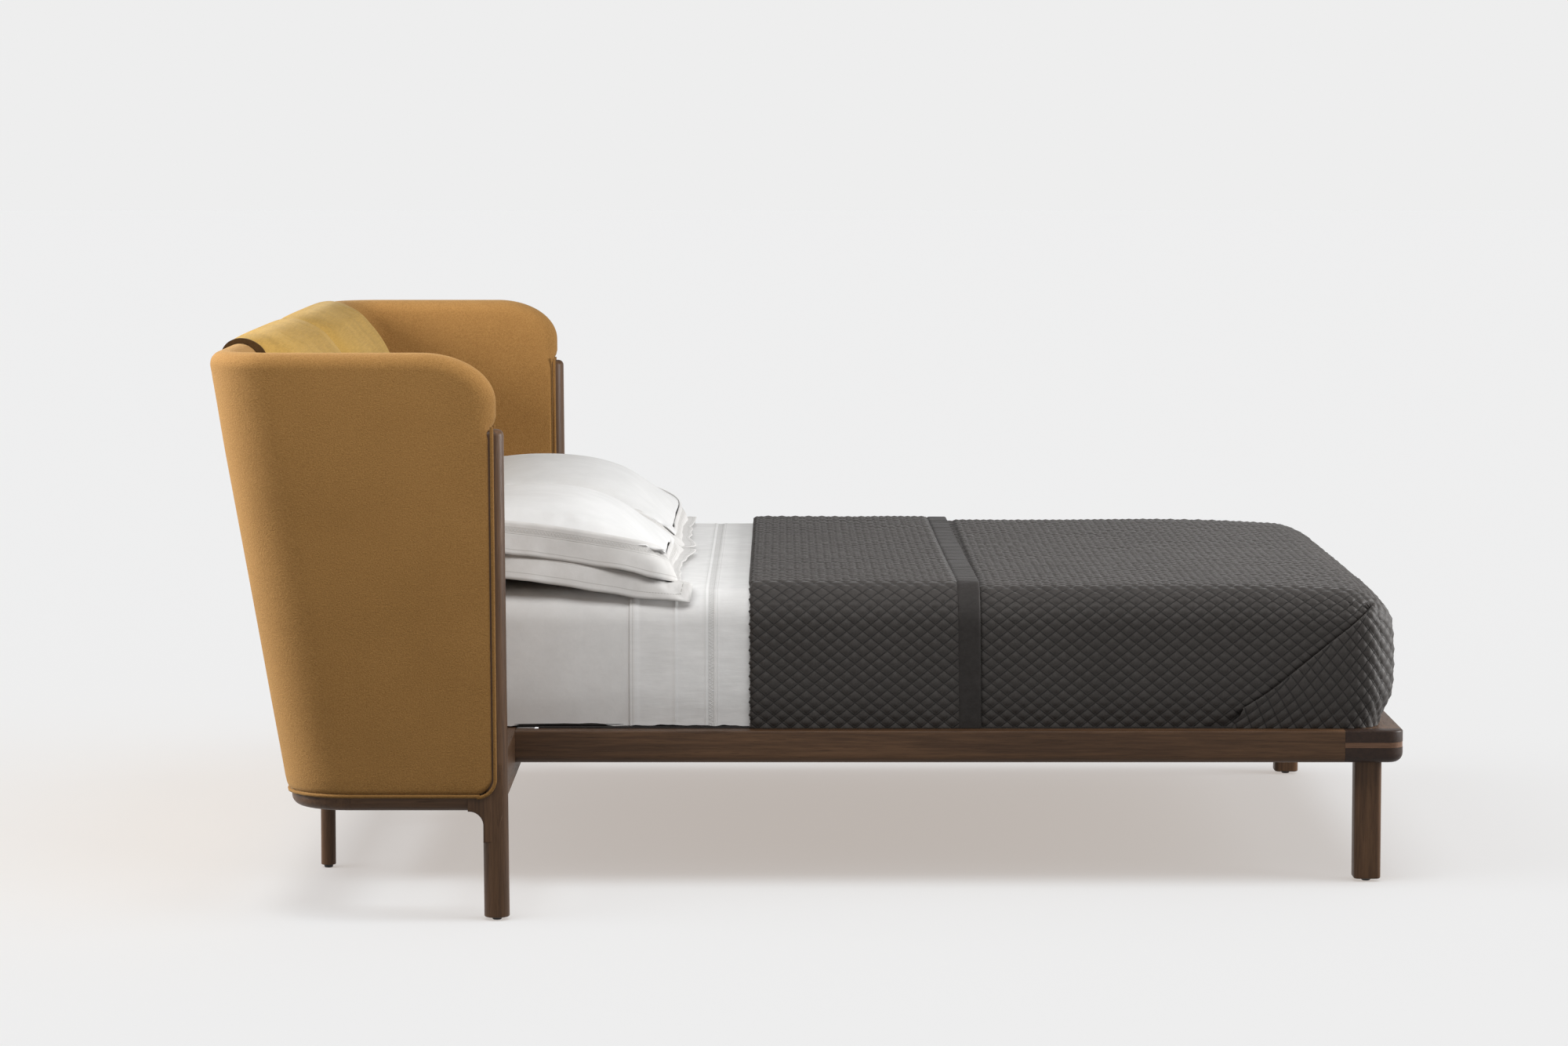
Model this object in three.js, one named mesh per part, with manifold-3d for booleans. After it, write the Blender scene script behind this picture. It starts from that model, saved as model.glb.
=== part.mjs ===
// Platform bed with a tall wrap-around upholstered headboard, draped back cushions and made-up bedding.
// Millimetres. +X runs from head to foot, +Y is the sleeper's left, +Z is up and the floor is Z = 0.
import * as THREE from 'three';
import { mergeVertices } from 'three/addons/utils/BufferGeometryUtils.js';
import Module from 'manifold-3d';

const wasm = await Module();
wasm.setup();

// ---------------------------------------------------------------- driving dimensions

const GAP = 0.3; // clearance kept between pieces that touch
const ARC_STEPS = 5; // segments in one rounded corner

// Headboard shell
const SHELL_Y = 1254; // outer face of a wing
const SHELL_THICK = 64;
const SHELL_BOTTOM = 238;
const SHELL_TOP = 1080;
const SHELL_CORNER = 130; // plan radius where a wing turns into the back
const WING_FRONT_LOW = -600.5; // front edge at the foot of the wing
const WING_FRONT_HIGH = -604.8; // front edge at the top of the wing
const WING_TOP_RADIUS = 115;
const WING_LOW_RADIUS = 37;
const BACK_TOP_RADIUS = 30;
const LEAN = 0.1727; // the back moves this far to -X for each millimetre of height
const BACK_X_REF = -1017; // outer face of the back at BACK_Z_REF
const BACK_Z_REF = 260;

// Timber frame
const FOOT_END = 1170.5;
const RAIL_Y = 838; // outer face of a side rail
const RAIL_THICK = 38;
const RAIL_BOTTOM = 245;
const RAIL_TOP = 310;
const EDGE_ROUND = 19; // roundover along the lower outer edges
const FOOT_RAIL_DEPTH = 117.5;
const FOOT_CORNER = 32;
const TONGUE_BOTTOM = 275.7;
const TONGUE_TOP = 286.4;
const BEAM_FRONT = -593;
const BEAM_DEPTH = 40;
const BEAM_BOTTOM = 216;
const BEAM_END = 1201.5;
const TENON = { length: 30, depth: 16, low: 236, high: 290 };
const BASE_INSET = 8; // the base rails sit this far inside the shell's outer face
const BASE_WIDTH = 60;
const REAR_BASE_WIDTH = 86; // wide enough for the head bearers to rest on
const BASE_BOTTOM = 209.5;
const BASE_TOP = SHELL_BOTTOM - GAP;

// Posts, legs and glides
const POST_RADIUS = 24.2;
const POST_SEGMENTS = 28;
const POST_X = -606.6;
const POST_Y = 1226;
const POST_TOP = 935.5;
const POST_RAKE = 0.0078; // radians towards the head
const KNEE_END = -660; // where the knee of a post meets its base rail
const KNEE_FILLET = 27;
const KNEE_SHY = 0.7; // the knee's faces lie just inside the round of the post
const FOOT_LEG = { x: 1105, y: 766, width: 54, corner: 11 };
const REAR_LEG = { x: -987, y: 604, radius: 15 };
const LEG_BOTTOM = 6;
const GLIDE = { radius: 9, height: LEG_BOTTOM - GAP, stemRadius: 4, stemTop: 34 };

// Slatted base
const SLAT_THICK = 22;
const SLAT_WIDTH = 90;
const SLAT_HALF = 796;
const SLAT_COUNT = 11; // between the cross beam and the foot rail
const HEAD_SLAT_X = [-815, -700]; // behind the cross beam
const LEDGER_DEPTH = 25;
const BEARER_WIDTH = 40;
const BEARER_Y = 775;
const CENTRE_RAIL_HALF = 20;

// Mattress and bedding
const MATTRESS = { head: -856, foot: 1136, half: 786, bottom: RAIL_TOP + 0.5, top: 578, corner: 70, edge: 22 };
const SHEET_THICK = 3;
const TOP_SHEET_HEAD = -352;
const TOP_SHEET_THICK = 4;
const COVERLET_HEAD = -127;
const COVERLET_THICK = 12;
const LAYER_GAP = 0.5;
const PILLOW = { head: -820, foot: -262, inner: 12, outer: 808, corner: 60 };
const PILLOW_LEVELS = [{ name: 'lower', bottom: 587, top: 676 }, { name: 'upper', bottom: 677, top: 768 }];
const PILLOW_EDGE = 34;

// Draped back cushions
const CUSHION_INNER = 3;
const CUSHION_OUTER = 880;
const CUSHION_BOTTOM = 604;
const FLAP_BOTTOM = 900;
const FLAP_THICK = 14.8;
const CUSHION_GAP = 0.5;

// ---------------------------------------------------------------- materials

const finish = (color, roughness, metalness = 0) =>
  new THREE.MeshStandardMaterial({ color, roughness, metalness });

const walnut = () => finish(0x4a3226, 0.5);
const poplar = () => finish(0xc9a877, 0.7);
const wool = () => finish(0xa8742a, 0.95);
const velvet = () => finish(0x9b7a34, 0.9);
const whiteCotton = () => finish(0xe6e4e0, 0.9);
const quilting = () => finish(0x3a3937, 0.7);
const nylon = () => finish(0x151515, 0.5);
const steel = () => finish(0x9a9a9c, 0.4, 1);

// ---------------------------------------------------------------- shape helpers

// A closed outline from corners [x, y, radius], anticlockwise; a radius rounds that corner with an arc.
function outline(corners) {
  const shape = new THREE.Shape();
  const count = corners.length;
  corners.forEach(([x, y, radius = 0], index) => {
    const corner = new THREE.Vector2(x, y);
    if (radius === 0) {
      if (index === 0) shape.moveTo(x, y);
      else shape.lineTo(x, y);
      return;
    }
    const before = new THREE.Vector2(...corners[(index + count - 1) % count]).sub(corner).normalize();
    const after = new THREE.Vector2(...corners[(index + 1) % count]).sub(corner).normalize();
    const half = Math.acos(before.dot(after)) / 2;
    const reach = radius / Math.tan(half);
    const start = corner.clone().addScaledVector(before, reach);
    const end = corner.clone().addScaledVector(after, reach);
    const middle = before.clone().add(after).normalize();
    const centre = corner.clone().addScaledVector(middle, radius / Math.sin(half));
    const from = start.clone().sub(centre).angle();
    const to = end.clone().sub(centre).angle();
    const clockwise = before.cross(after) > 0;
    if (index === 0) shape.moveTo(start.x, start.y);
    else shape.lineTo(start.x, start.y);
    shape.absarc(centre.x, centre.y, radius, from, to, clockwise);
  });
  shape.closePath();
  return shape;
}

const rectangle = (x0, y0, x1, y1, radius = 0) =>
  outline([[x0, y0, radius], [x1, y0, radius], [x1, y1, radius], [x0, y1, radius]]);

function extrude(shape, depth, options = {}) {
  const settings = { depth, bevelEnabled: false, curveSegments: ARC_STEPS, ...options };
  return new THREE.ExtrudeGeometry(shape, settings);
}

// Outline in X and Y, carried up from z0 to z1.
const extrudeUp = (shape, z0, z1) => toSolid(extrude(shape, z1 - z0).translate(0, 0, z0));

// Outline in X and Z, carried along Y from y0 to y1.
const extrudeAcross = (shape, y0, y1) =>
  toSolid(extrude(shape, y1 - y0).rotateX(Math.PI / 2).translate(0, y1, 0));

// Outline in Y and Z, carried along X from x0 to x1.
function extrudeAlong(shape, x0, x1) {
  const turn = new THREE.Matrix4().makeBasis(
    new THREE.Vector3(0, 1, 0),
    new THREE.Vector3(0, 0, 1),
    new THREE.Vector3(1, 0, 0),
  );
  return toSolid(extrude(shape, x1 - x0).applyMatrix4(turn).translate(x0, 0, 0));
}

function block(x0, y0, z0, x1, y1, z1) {
  const geometry = new THREE.BoxGeometry(x1 - x0, y1 - y0, z1 - z0);
  return toSolid(geometry.translate((x0 + x1) / 2, (y0 + y1) / 2, (z0 + z1) / 2));
}

// A turned piece about Z from [radius, height] points, placed at x, y.
function turned(points, x, y, segments = 24) {
  const profile = points.map(([radius, height]) => new THREE.Vector2(radius, height));
  const geometry = new THREE.LatheGeometry(profile, segments).rotateX(Math.PI / 2);
  return toSolid(geometry.translate(x, y, 0));
}

// A cushion-like slab: an outline whose top and bottom edges are rounded by `edge`.
function softSlab(shape, bottom, top, edge, steps = 2) {
  const geometry = extrude(shape, top - bottom - 2 * edge, {
    bevelEnabled: true,
    bevelThickness: edge,
    bevelSize: edge,
    bevelOffset: -edge,
    bevelSegments: steps,
  });
  return toSolid(geometry.translate(0, 0, bottom + edge));
}

function toSolid(geometry) {
  geometry.deleteAttribute('normal');
  geometry.deleteAttribute('uv');
  const merged = mergeVertices(geometry, 1e-3);
  const mesh = new wasm.Mesh({
    numProp: 3,
    vertProperties: merged.attributes.position.array,
    triVerts: merged.index.array,
  });
  return new wasm.Manifold(mesh);
}

function toGeometry(solid) {
  const mesh = solid.getMesh();
  const geometry = new THREE.BufferGeometry();
  geometry.setAttribute('position', new THREE.BufferAttribute(mesh.vertProperties, 3));
  geometry.setIndex(new THREE.BufferAttribute(mesh.triVerts, 1));
  geometry.computeVertexNormals();
  return geometry;
}

const mirrored = (solid) => solid.mirror([0, 1, 0]);

// ---------------------------------------------------------------- assembly

const group = new THREE.Group();

function add(name, solid, material) {
  const mesh = new THREE.Mesh(toGeometry(solid), material);
  mesh.name = name;
  group.add(mesh);
}

// The solid is drawn on the +Y side; its mirror image is the right-hand piece.
function addPair(name, solid, makeMaterial) {
  add(`left_${name}`, solid, makeMaterial());
  add(`right_${name}`, mirrored(solid), makeMaterial());
}

// ---------------------------------------------------------------- posts, legs and glides

const backX = (z) => BACK_X_REF - (z - BACK_Z_REF) * LEAN;

function roundPost(radius) {
  const foot = 3;
  const dome = 11;
  return turned([
    [0, LEG_BOTTOM],
    [radius - foot, LEG_BOTTOM],
    [radius, LEG_BOTTOM + foot],
    [radius, POST_TOP - dome],
    [radius - dome * 0.3, POST_TOP - dome * 0.3],
    [radius - dome, POST_TOP],
    [0, POST_TOP],
  ], 0, 0, POST_SEGMENTS);
}

const rakePost = (solid) =>
  solid.rotate([0, THREE.MathUtils.radToDeg(-POST_RAKE), 0]).translate([POST_X, POST_Y, 0]);

const glideBore = (x, y) =>
  turned([
    [0, 0],
    [GLIDE.stemRadius + GAP, 0],
    [GLIDE.stemRadius + GAP, GLIDE.stemTop + 2],
    [0, GLIDE.stemTop + 2],
  ], x, y, 12);

const glide = (x, y) =>
  turned([
    [0, 0],
    [GLIDE.radius - 1.5, 0],
    [GLIDE.radius, 1.5],
    [GLIDE.radius, GLIDE.height - 1],
    [GLIDE.radius - 1, GLIDE.height],
    [GLIDE.stemRadius, GLIDE.height],
    [GLIDE.stemRadius, GLIDE.stemTop],
    [0, GLIDE.stemTop],
  ], x, y, 16);

// The knee joins the post to its base rail: filleted below, hollowed above to take the wing's corner.
function knee() {
  const seat = WING_FRONT_LOW + GAP;
  const profile = outline([
    [KNEE_END, BASE_BOTTOM],
    [POST_X - POST_RADIUS, BASE_BOTTOM, KNEE_FILLET],
    [POST_X - POST_RADIUS, 150],
    [POST_X, 150],
    [POST_X + 12, 200],
    [POST_X + 12, 300],
    [seat, 300],
    [seat, BASE_TOP, WING_LOW_RADIUS + GAP],
    [KNEE_END, BASE_TOP],
  ]);
  const half = POST_RADIUS - KNEE_SHY;
  return extrudeAcross(profile, POST_Y - half, POST_Y + half);
}

const tenon = (grow) =>
  block(
    BEAM_FRONT - (BEAM_DEPTH + TENON.depth) / 2 - grow,
    BEAM_END - 1,
    TENON.low - grow,
    BEAM_FRONT - (BEAM_DEPTH - TENON.depth) / 2 + grow,
    BEAM_END + TENON.length + grow,
    TENON.high + grow,
  );

addPair(
  'front_post',
  rakePost(roundPost(POST_RADIUS)).add(knee()).subtract(tenon(GAP)).subtract(glideBore(POST_X, POST_Y)),
  walnut,
);

const rearLegProfile = [
  [0, LEG_BOTTOM],
  [REAR_LEG.radius - 2, LEG_BOTTOM],
  [REAR_LEG.radius, LEG_BOTTOM + 2],
  [REAR_LEG.radius, BASE_BOTTOM - GAP],
  [0, BASE_BOTTOM - GAP],
];
addPair(
  'rear_leg',
  turned(rearLegProfile, REAR_LEG.x, REAR_LEG.y).subtract(glideBore(REAR_LEG.x, REAR_LEG.y)),
  walnut,
);

function footLeg() {
  const half = FOOT_LEG.width / 2;
  const { x, y, corner } = FOOT_LEG;
  const section = rectangle(x - half, y - half, x + half, y + half, corner);
  const soleEdge = 4;
  const leg = softSlab(section, LEG_BOTTOM, RAIL_BOTTOM + 20, soleEdge, 1);
  return leg.intersect(block(x - half, y - half, 0, x + half, y + half, RAIL_BOTTOM - GAP));
}
addPair('foot_leg', footLeg().subtract(glideBore(FOOT_LEG.x, FOOT_LEG.y)), walnut);

addPair('post_glide', glide(POST_X, POST_Y), nylon);
addPair('rear_glide', glide(REAR_LEG.x, REAR_LEG.y), nylon);
addPair('foot_glide', glide(FOOT_LEG.x, FOOT_LEG.y), nylon);

// ---------------------------------------------------------------- base rails under the shell

const baseOuter = SHELL_Y - BASE_INSET;
const baseInner = baseOuter - BASE_WIDTH;
const cornerX = backX(SHELL_BOTTOM) + SHELL_CORNER;
const cornerY = SHELL_Y - SHELL_CORNER;

const baseSection = outline([
  [baseInner, BASE_BOTTOM],
  [baseOuter, BASE_BOTTOM, EDGE_ROUND],
  [baseOuter, BASE_TOP],
  [baseInner, BASE_TOP],
]);
addPair('base_rail', extrudeAlong(baseSection, cornerX + GAP, KNEE_END - GAP), walnut);

function baseCorner() {
  const outer = SHELL_CORNER - BASE_INSET;
  const inner = outer - BASE_WIDTH;
  const quarter = [];
  for (let step = 0; step <= ARC_STEPS; step += 1) {
    const angle = (step / ARC_STEPS) * (Math.PI / 2);
    const reach = EDGE_ROUND * (1 - Math.sin(angle));
    quarter.push([outer - reach, BASE_BOTTOM + EDGE_ROUND * (1 - Math.cos(angle))]);
  }
  const section = [[inner, BASE_BOTTOM], ...quarter, [outer, BASE_TOP], [inner, BASE_TOP], [inner, BASE_BOTTOM]];
  const ring = turned(section, cornerX, cornerY, 32);
  const sector = block(cornerX - outer - 1, cornerY, 0, cornerX, cornerY + outer + 1, BASE_TOP + 1);
  return ring.intersect(sector);
}
addPair('base_corner', baseCorner(), walnut);

const rearX = backX(SHELL_BOTTOM) + BASE_INSET;
const rearSection = outline([
  [rearX, BASE_BOTTOM, EDGE_ROUND],
  [rearX + REAR_BASE_WIDTH, BASE_BOTTOM],
  [rearX + REAR_BASE_WIDTH, BASE_TOP],
  [rearX, BASE_TOP],
]);
add('rear_base_rail', extrudeAcross(rearSection, -cornerY + GAP, cornerY - GAP), walnut());

// ---------------------------------------------------------------- cross beam, side rails and foot rail

const beam = block(BEAM_FRONT - BEAM_DEPTH, -BEAM_END, BEAM_BOTTOM, BEAM_FRONT, BEAM_END, RAIL_TOP);
add('headboard_cross_beam', beam.add(tenon(0)).add(mirrored(tenon(0))), walnut());

const footInner = FOOT_END - FOOT_RAIL_DEPTH;
const railInner = RAIL_Y - RAIL_THICK;
const footPlan = (inset) => {
  const outer = FOOT_END - inset;
  const side = RAIL_Y - inset;
  const radius = FOOT_CORNER - inset;
  return outline([
    [footInner, -side],
    [outer, -side, radius],
    [outer, side, radius],
    [footInner, side],
  ]);
};

function tongue(grow) {
  const low = TONGUE_BOTTOM - grow;
  const high = TONGUE_TOP + grow;
  return block(footInner - 1, railInner - grow, low, FOOT_END + grow, RAIL_Y + grow, high);
}

function sideRail() {
  const section = outline([
    [railInner, RAIL_BOTTOM],
    [RAIL_Y, RAIL_BOTTOM, EDGE_ROUND],
    [RAIL_Y, RAIL_TOP, 3],
    [railInner, RAIL_TOP],
  ]);
  const end = footInner - GAP;
  const bar = extrudeAlong(section, BEAM_FRONT + GAP, end);
  const roundedTongue = tongue(0).intersect(extrudeUp(footPlan(0.5), RAIL_BOTTOM, RAIL_TOP));
  const shoulder = block(end - 1, railInner, TONGUE_BOTTOM, footInner + 1, RAIL_Y - 1, TONGUE_TOP);
  return bar.add(shoulder).add(roundedTongue);
}
addPair('side_rail', sideRail(), walnut);

function footRail() {
  const body = extrudeUp(footPlan(0), RAIL_BOTTOM, RAIL_TOP);
  const endView = outline([
    [-RAIL_Y, RAIL_BOTTOM, EDGE_ROUND],
    [RAIL_Y, RAIL_BOTTOM, EDGE_ROUND],
    [RAIL_Y, RAIL_TOP, 3],
    [-RAIL_Y, RAIL_TOP, 3],
  ]);
  const sideView = outline([
    [footInner, RAIL_BOTTOM],
    [FOOT_END, RAIL_BOTTOM, EDGE_ROUND],
    [FOOT_END, RAIL_TOP, 3],
    [footInner, RAIL_TOP],
  ]);
  const slot = tongue(GAP);
  return body
    .intersect(extrudeAlong(endView, footInner - 1, FOOT_END + 1))
    .intersect(extrudeAcross(sideView, -RAIL_Y - 1, RAIL_Y + 1))
    .subtract(slot)
    .subtract(mirrored(slot));
}
add('foot_rail', footRail(), walnut());

// ---------------------------------------------------------------- slatted base

const slatBottom = RAIL_TOP - SLAT_THICK;
const restTop = slatBottom - GAP;

addPair(
  'slat_ledger',
  block(-535, railInner - LEDGER_DEPTH, restTop - LEDGER_DEPTH, footInner - GAP, railInner - GAP, restTop),
  poplar,
);
add(
  'centre_rail',
  block(BEAM_FRONT + GAP, -CENTRE_RAIL_HALF, RAIL_BOTTOM, footInner - GAP, CENTRE_RAIL_HALF, restTop),
  poplar(),
);

const bearer = (middle) =>
  block(
    rearX + 5,
    middle - BEARER_WIDTH / 2,
    BASE_TOP + GAP,
    BEAM_FRONT - BEAM_DEPTH - GAP,
    middle + BEARER_WIDTH / 2,
    restTop,
  );
const shellInnerLow = backX(BASE_TOP) + SHELL_THICK;
const clearOfShell = block(shellInnerLow + GAP, -RAIL_Y, 0, 0, RAIL_Y, RAIL_TOP);
addPair('head_bearer', bearer(BEARER_Y).intersect(clearOfShell), poplar);
add('centre_bearer', bearer(0).intersect(clearOfShell), poplar());

const firstSlat = -535 + SLAT_WIDTH / 2;
const lastSlat = footInner - 12 - SLAT_WIDTH / 2;
const slatPitch = (lastSlat - firstSlat) / (SLAT_COUNT - 1);
const slatCentres = [...HEAD_SLAT_X];
for (let index = 0; index < SLAT_COUNT; index += 1) slatCentres.push(firstSlat + index * slatPitch);
slatCentres.forEach((x, index) => {
  const number = String(index + 1).padStart(2, '0');
  const slat = block(x - SLAT_WIDTH / 2, -SLAT_HALF, slatBottom, x + SLAT_WIDTH / 2, SLAT_HALF, RAIL_TOP);
  add(`slat_${number}`, slat, poplar());
});

// Angle plates that hook each side rail to the cross beam.
const plateThick = 3;
const plateX = BEAM_FRONT + GAP;
const plateY = railInner - GAP;
const anglePlate = outline([
  [plateX, plateY - 60],
  [plateX + plateThick, plateY - 60],
  [plateX + plateThick, plateY - plateThick],
  [plateX + 48, plateY - plateThick],
  [plateX + 48, plateY],
  [plateX, plateY],
]);
addPair('rail_bracket', extrudeUp(anglePlate, 252, 302), steel);

// ---------------------------------------------------------------- upholstered shell

const wingInner = SHELL_Y - SHELL_THICK;

function wingPanel() {
  const profile = outline([
    [backX(SHELL_BOTTOM) + SHELL_CORNER + GAP, SHELL_BOTTOM],
    [WING_FRONT_LOW, SHELL_BOTTOM, WING_LOW_RADIUS],
    [WING_FRONT_HIGH, SHELL_TOP, WING_TOP_RADIUS],
    [backX(SHELL_TOP) + SHELL_CORNER + GAP, SHELL_TOP],
  ]);
  const grooveClear = rakePost(roundPost(POST_RADIUS + GAP));
  const beamClear = block(
    BEAM_FRONT - BEAM_DEPTH - GAP,
    0,
    BEAM_BOTTOM - GAP,
    BEAM_FRONT + GAP,
    POST_Y,
    RAIL_TOP + GAP,
  );
  const wing = extrudeAcross(profile, wingInner, SHELL_Y);
  return wing.subtract(grooveClear).subtract(beamClear).subtract(knee());
}
addPair('wing_panel', wingPanel(), wool);

// A quarter turn in plan, sheared so that it leans with the back.
function cornerPanel() {
  const inner = SHELL_CORNER - SHELL_THICK;
  const shape = new THREE.Shape();
  shape.moveTo(0, SHELL_CORNER);
  shape.absarc(0, 0, SHELL_CORNER, Math.PI / 2, Math.PI, false);
  shape.lineTo(-inner, 0);
  shape.absarc(0, 0, inner, Math.PI, Math.PI / 2, true);
  shape.closePath();
  const lean = new THREE.Matrix4().makeShear(0, 0, 0, 0, -LEAN, 0);
  const geometry = extrude(shape, SHELL_TOP - SHELL_BOTTOM).applyMatrix4(lean);
  return toSolid(geometry.translate(cornerX, cornerY, SHELL_BOTTOM));
}
addPair('corner_panel', cornerPanel(), wool);

function backPanel() {
  const profile = outline([
    [backX(SHELL_BOTTOM), SHELL_BOTTOM, 20],
    [backX(SHELL_BOTTOM) + SHELL_THICK, SHELL_BOTTOM],
    [backX(SHELL_TOP) + SHELL_THICK, SHELL_TOP, BACK_TOP_RADIUS],
    [backX(SHELL_TOP), SHELL_TOP, BACK_TOP_RADIUS],
  ]);
  return extrudeAcross(profile, -cornerY + GAP, cornerY - GAP);
}
add('back_panel', backPanel(), wool());

// ---------------------------------------------------------------- draped back cushions

// Side view of a cushion: a thick pad down the inside of the back and a thin flap over its top.
function cushionProfile() {
  const shape = new THREE.Shape();
  const inside = (z) => backX(z) + SHELL_THICK + CUSHION_GAP;
  const outside = (z) => backX(z) - CUSHION_GAP;
  const top = SHELL_TOP + CUSHION_GAP;
  shape.moveTo(inside(CUSHION_BOTTOM), CUSHION_BOTTOM);
  shape.lineTo(-952, CUSHION_BOTTOM);
  shape.splineThru([
    new THREE.Vector2(-918, 645),
    new THREE.Vector2(-915, 745),
    new THREE.Vector2(-934, 860),
    new THREE.Vector2(-978, 965),
    new THREE.Vector2(-1016, 1017),
    new THREE.Vector2(-1068, 1066),
    new THREE.Vector2(-1112, 1092),
    new THREE.Vector2(outside(SHELL_TOP) + 4, 1090),
    new THREE.Vector2(outside(1060) - FLAP_THICK, 1062),
  ]);
  shape.lineTo(outside(FLAP_BOTTOM) - FLAP_THICK, FLAP_BOTTOM);
  shape.lineTo(outside(FLAP_BOTTOM), FLAP_BOTTOM);
  shape.lineTo(outside(top), top);
  shape.lineTo(inside(top), top);
  shape.closePath();
  return shape;
}
addPair('back_cushion', extrudeAcross(cushionProfile(), CUSHION_INNER, CUSHION_OUTER), velvet);

// ---------------------------------------------------------------- mattress, sheets and coverlet

// A slab the size of the mattress, grown by `grow` on its sides and top, from `head` to the foot.
function mattressSlab(grow, head, bottom) {
  const { foot, half, corner, edge } = MATTRESS;
  const plan = rectangle(MATTRESS.head - grow, -half - grow, foot + grow, half + grow, corner + grow);
  const slab = softSlab(plan, MATTRESS.bottom - 60, MATTRESS.top + grow, edge + grow);
  const reach = half + grow + 1;
  const keep = block(head, -reach, bottom, foot + grow + 1, reach, MATTRESS.top + grow + 1);
  return slab.intersect(keep);
}

// A sheet laid over everything up to `under`, open below.
function laidSheet(under, thick, head, bottom) {
  return mattressSlab(under + thick, head, bottom).subtract(mattressSlab(under, head - 200, bottom - 50));
}

const fittedUnder = LAYER_GAP;
const topSheetUnder = fittedUnder + SHEET_THICK + LAYER_GAP;
const coverletUnder = topSheetUnder + TOP_SHEET_THICK + LAYER_GAP;
const hem = RAIL_TOP + 2;

add('mattress', mattressSlab(0, MATTRESS.head - 1, MATTRESS.bottom), whiteCotton());
add('fitted_sheet', laidSheet(fittedUnder, SHEET_THICK, MATTRESS.head - 10, hem), whiteCotton());
add('top_sheet', laidSheet(topSheetUnder, TOP_SHEET_THICK, TOP_SHEET_HEAD, hem), whiteCotton());
add('coverlet', laidSheet(coverletUnder, COVERLET_THICK, COVERLET_HEAD, hem), quilting());

PILLOW_LEVELS.forEach(({ name, bottom, top }) => {
  const plan = rectangle(PILLOW.head, PILLOW.inner, PILLOW.foot, PILLOW.outer, PILLOW.corner);
  addPair(`${name}_pillow`, softSlab(plan, bottom, top, PILLOW_EDGE), whiteCotton);
});

export default group;
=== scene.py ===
"""Looks of a walnut platform bed with a wrap-around upholstered headboard and made-up bedding.

Metres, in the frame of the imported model: +X from head to foot, +Y to the sleeper's left, +Z up, floor at 0.
"""

import logging
import math
from dataclasses import dataclass, field
from enum import Enum
from typing import Any, Callable, Iterable, Sequence

import bmesh
import bpy
from mathutils import Euler, Matrix, Vector, noise


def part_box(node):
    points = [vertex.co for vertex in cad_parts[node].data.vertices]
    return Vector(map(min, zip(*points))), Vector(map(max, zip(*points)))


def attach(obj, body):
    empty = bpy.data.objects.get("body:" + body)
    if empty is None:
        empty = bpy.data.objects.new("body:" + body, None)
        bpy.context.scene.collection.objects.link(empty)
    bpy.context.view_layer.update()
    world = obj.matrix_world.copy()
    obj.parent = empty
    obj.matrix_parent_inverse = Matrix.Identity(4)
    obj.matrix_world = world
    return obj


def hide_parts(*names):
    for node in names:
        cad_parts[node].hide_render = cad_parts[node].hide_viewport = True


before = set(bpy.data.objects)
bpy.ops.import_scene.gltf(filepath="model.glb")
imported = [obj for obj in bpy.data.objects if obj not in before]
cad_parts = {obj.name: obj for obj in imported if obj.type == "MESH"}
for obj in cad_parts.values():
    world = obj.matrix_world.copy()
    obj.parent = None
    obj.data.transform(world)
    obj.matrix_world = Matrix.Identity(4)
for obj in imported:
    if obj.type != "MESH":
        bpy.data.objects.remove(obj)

log = logging.getLogger("bed")
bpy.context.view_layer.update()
Point = Sequence[float]
Colour = tuple[float, float, float]


# ---------------------------------------------------------------- shader graph


def math_node(operation: str, swap: bool = False) -> Callable[..., "Value"]:
    """Make a method of Value that adds one Math node.

    Args:
        operation: The node's operation.
        swap: Put the value itself last.

    Returns:
        The method.
    """

    def method(value: "Value", *others: Any) -> "Value":
        """Add the node and wrap its result."""
        operands = [value, *others]
        if swap:
            operands.reverse()
        node = value.graph.node("ShaderNodeMath", {"operation": operation}, *operands)
        return Value(value.graph, node.outputs[0])

    return method


class Value:
    """A number in a shader graph: arithmetic on it adds Math nodes."""

    def __init__(self, graph: "Graph", socket: Any) -> None:
        """Wrap one output socket of the graph."""
        self.graph = graph
        self.socket = socket

    __add__ = __radd__ = math_node("ADD")
    __mul__ = __rmul__ = math_node("MULTIPLY")
    __sub__ = math_node("SUBTRACT")
    __rsub__ = math_node("SUBTRACT", swap=True)
    __truediv__ = math_node("DIVIDE")
    absolute = math_node("ABSOLUTE")
    below = math_node("LESS_THAN")
    least = math_node("MINIMUM")
    most = math_node("MAXIMUM")
    ping_pong = math_node("PINGPONG")

    def wave(self, period: float) -> "Value":
        """A triangle wave: 0 at whole periods and 1 half way between them."""
        return self.ping_pong(period / 2) / (period / 2)

    def smooth(self, low: float, high: float) -> "Value":
        """0 at or below low, 1 at or above high, and smooth between."""
        settings = {"interpolation_type": "SMOOTHSTEP"}
        node = self.graph.node("ShaderNodeMapRange", settings, self, low, high)
        return Value(self.graph, node.outputs[0])


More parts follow.
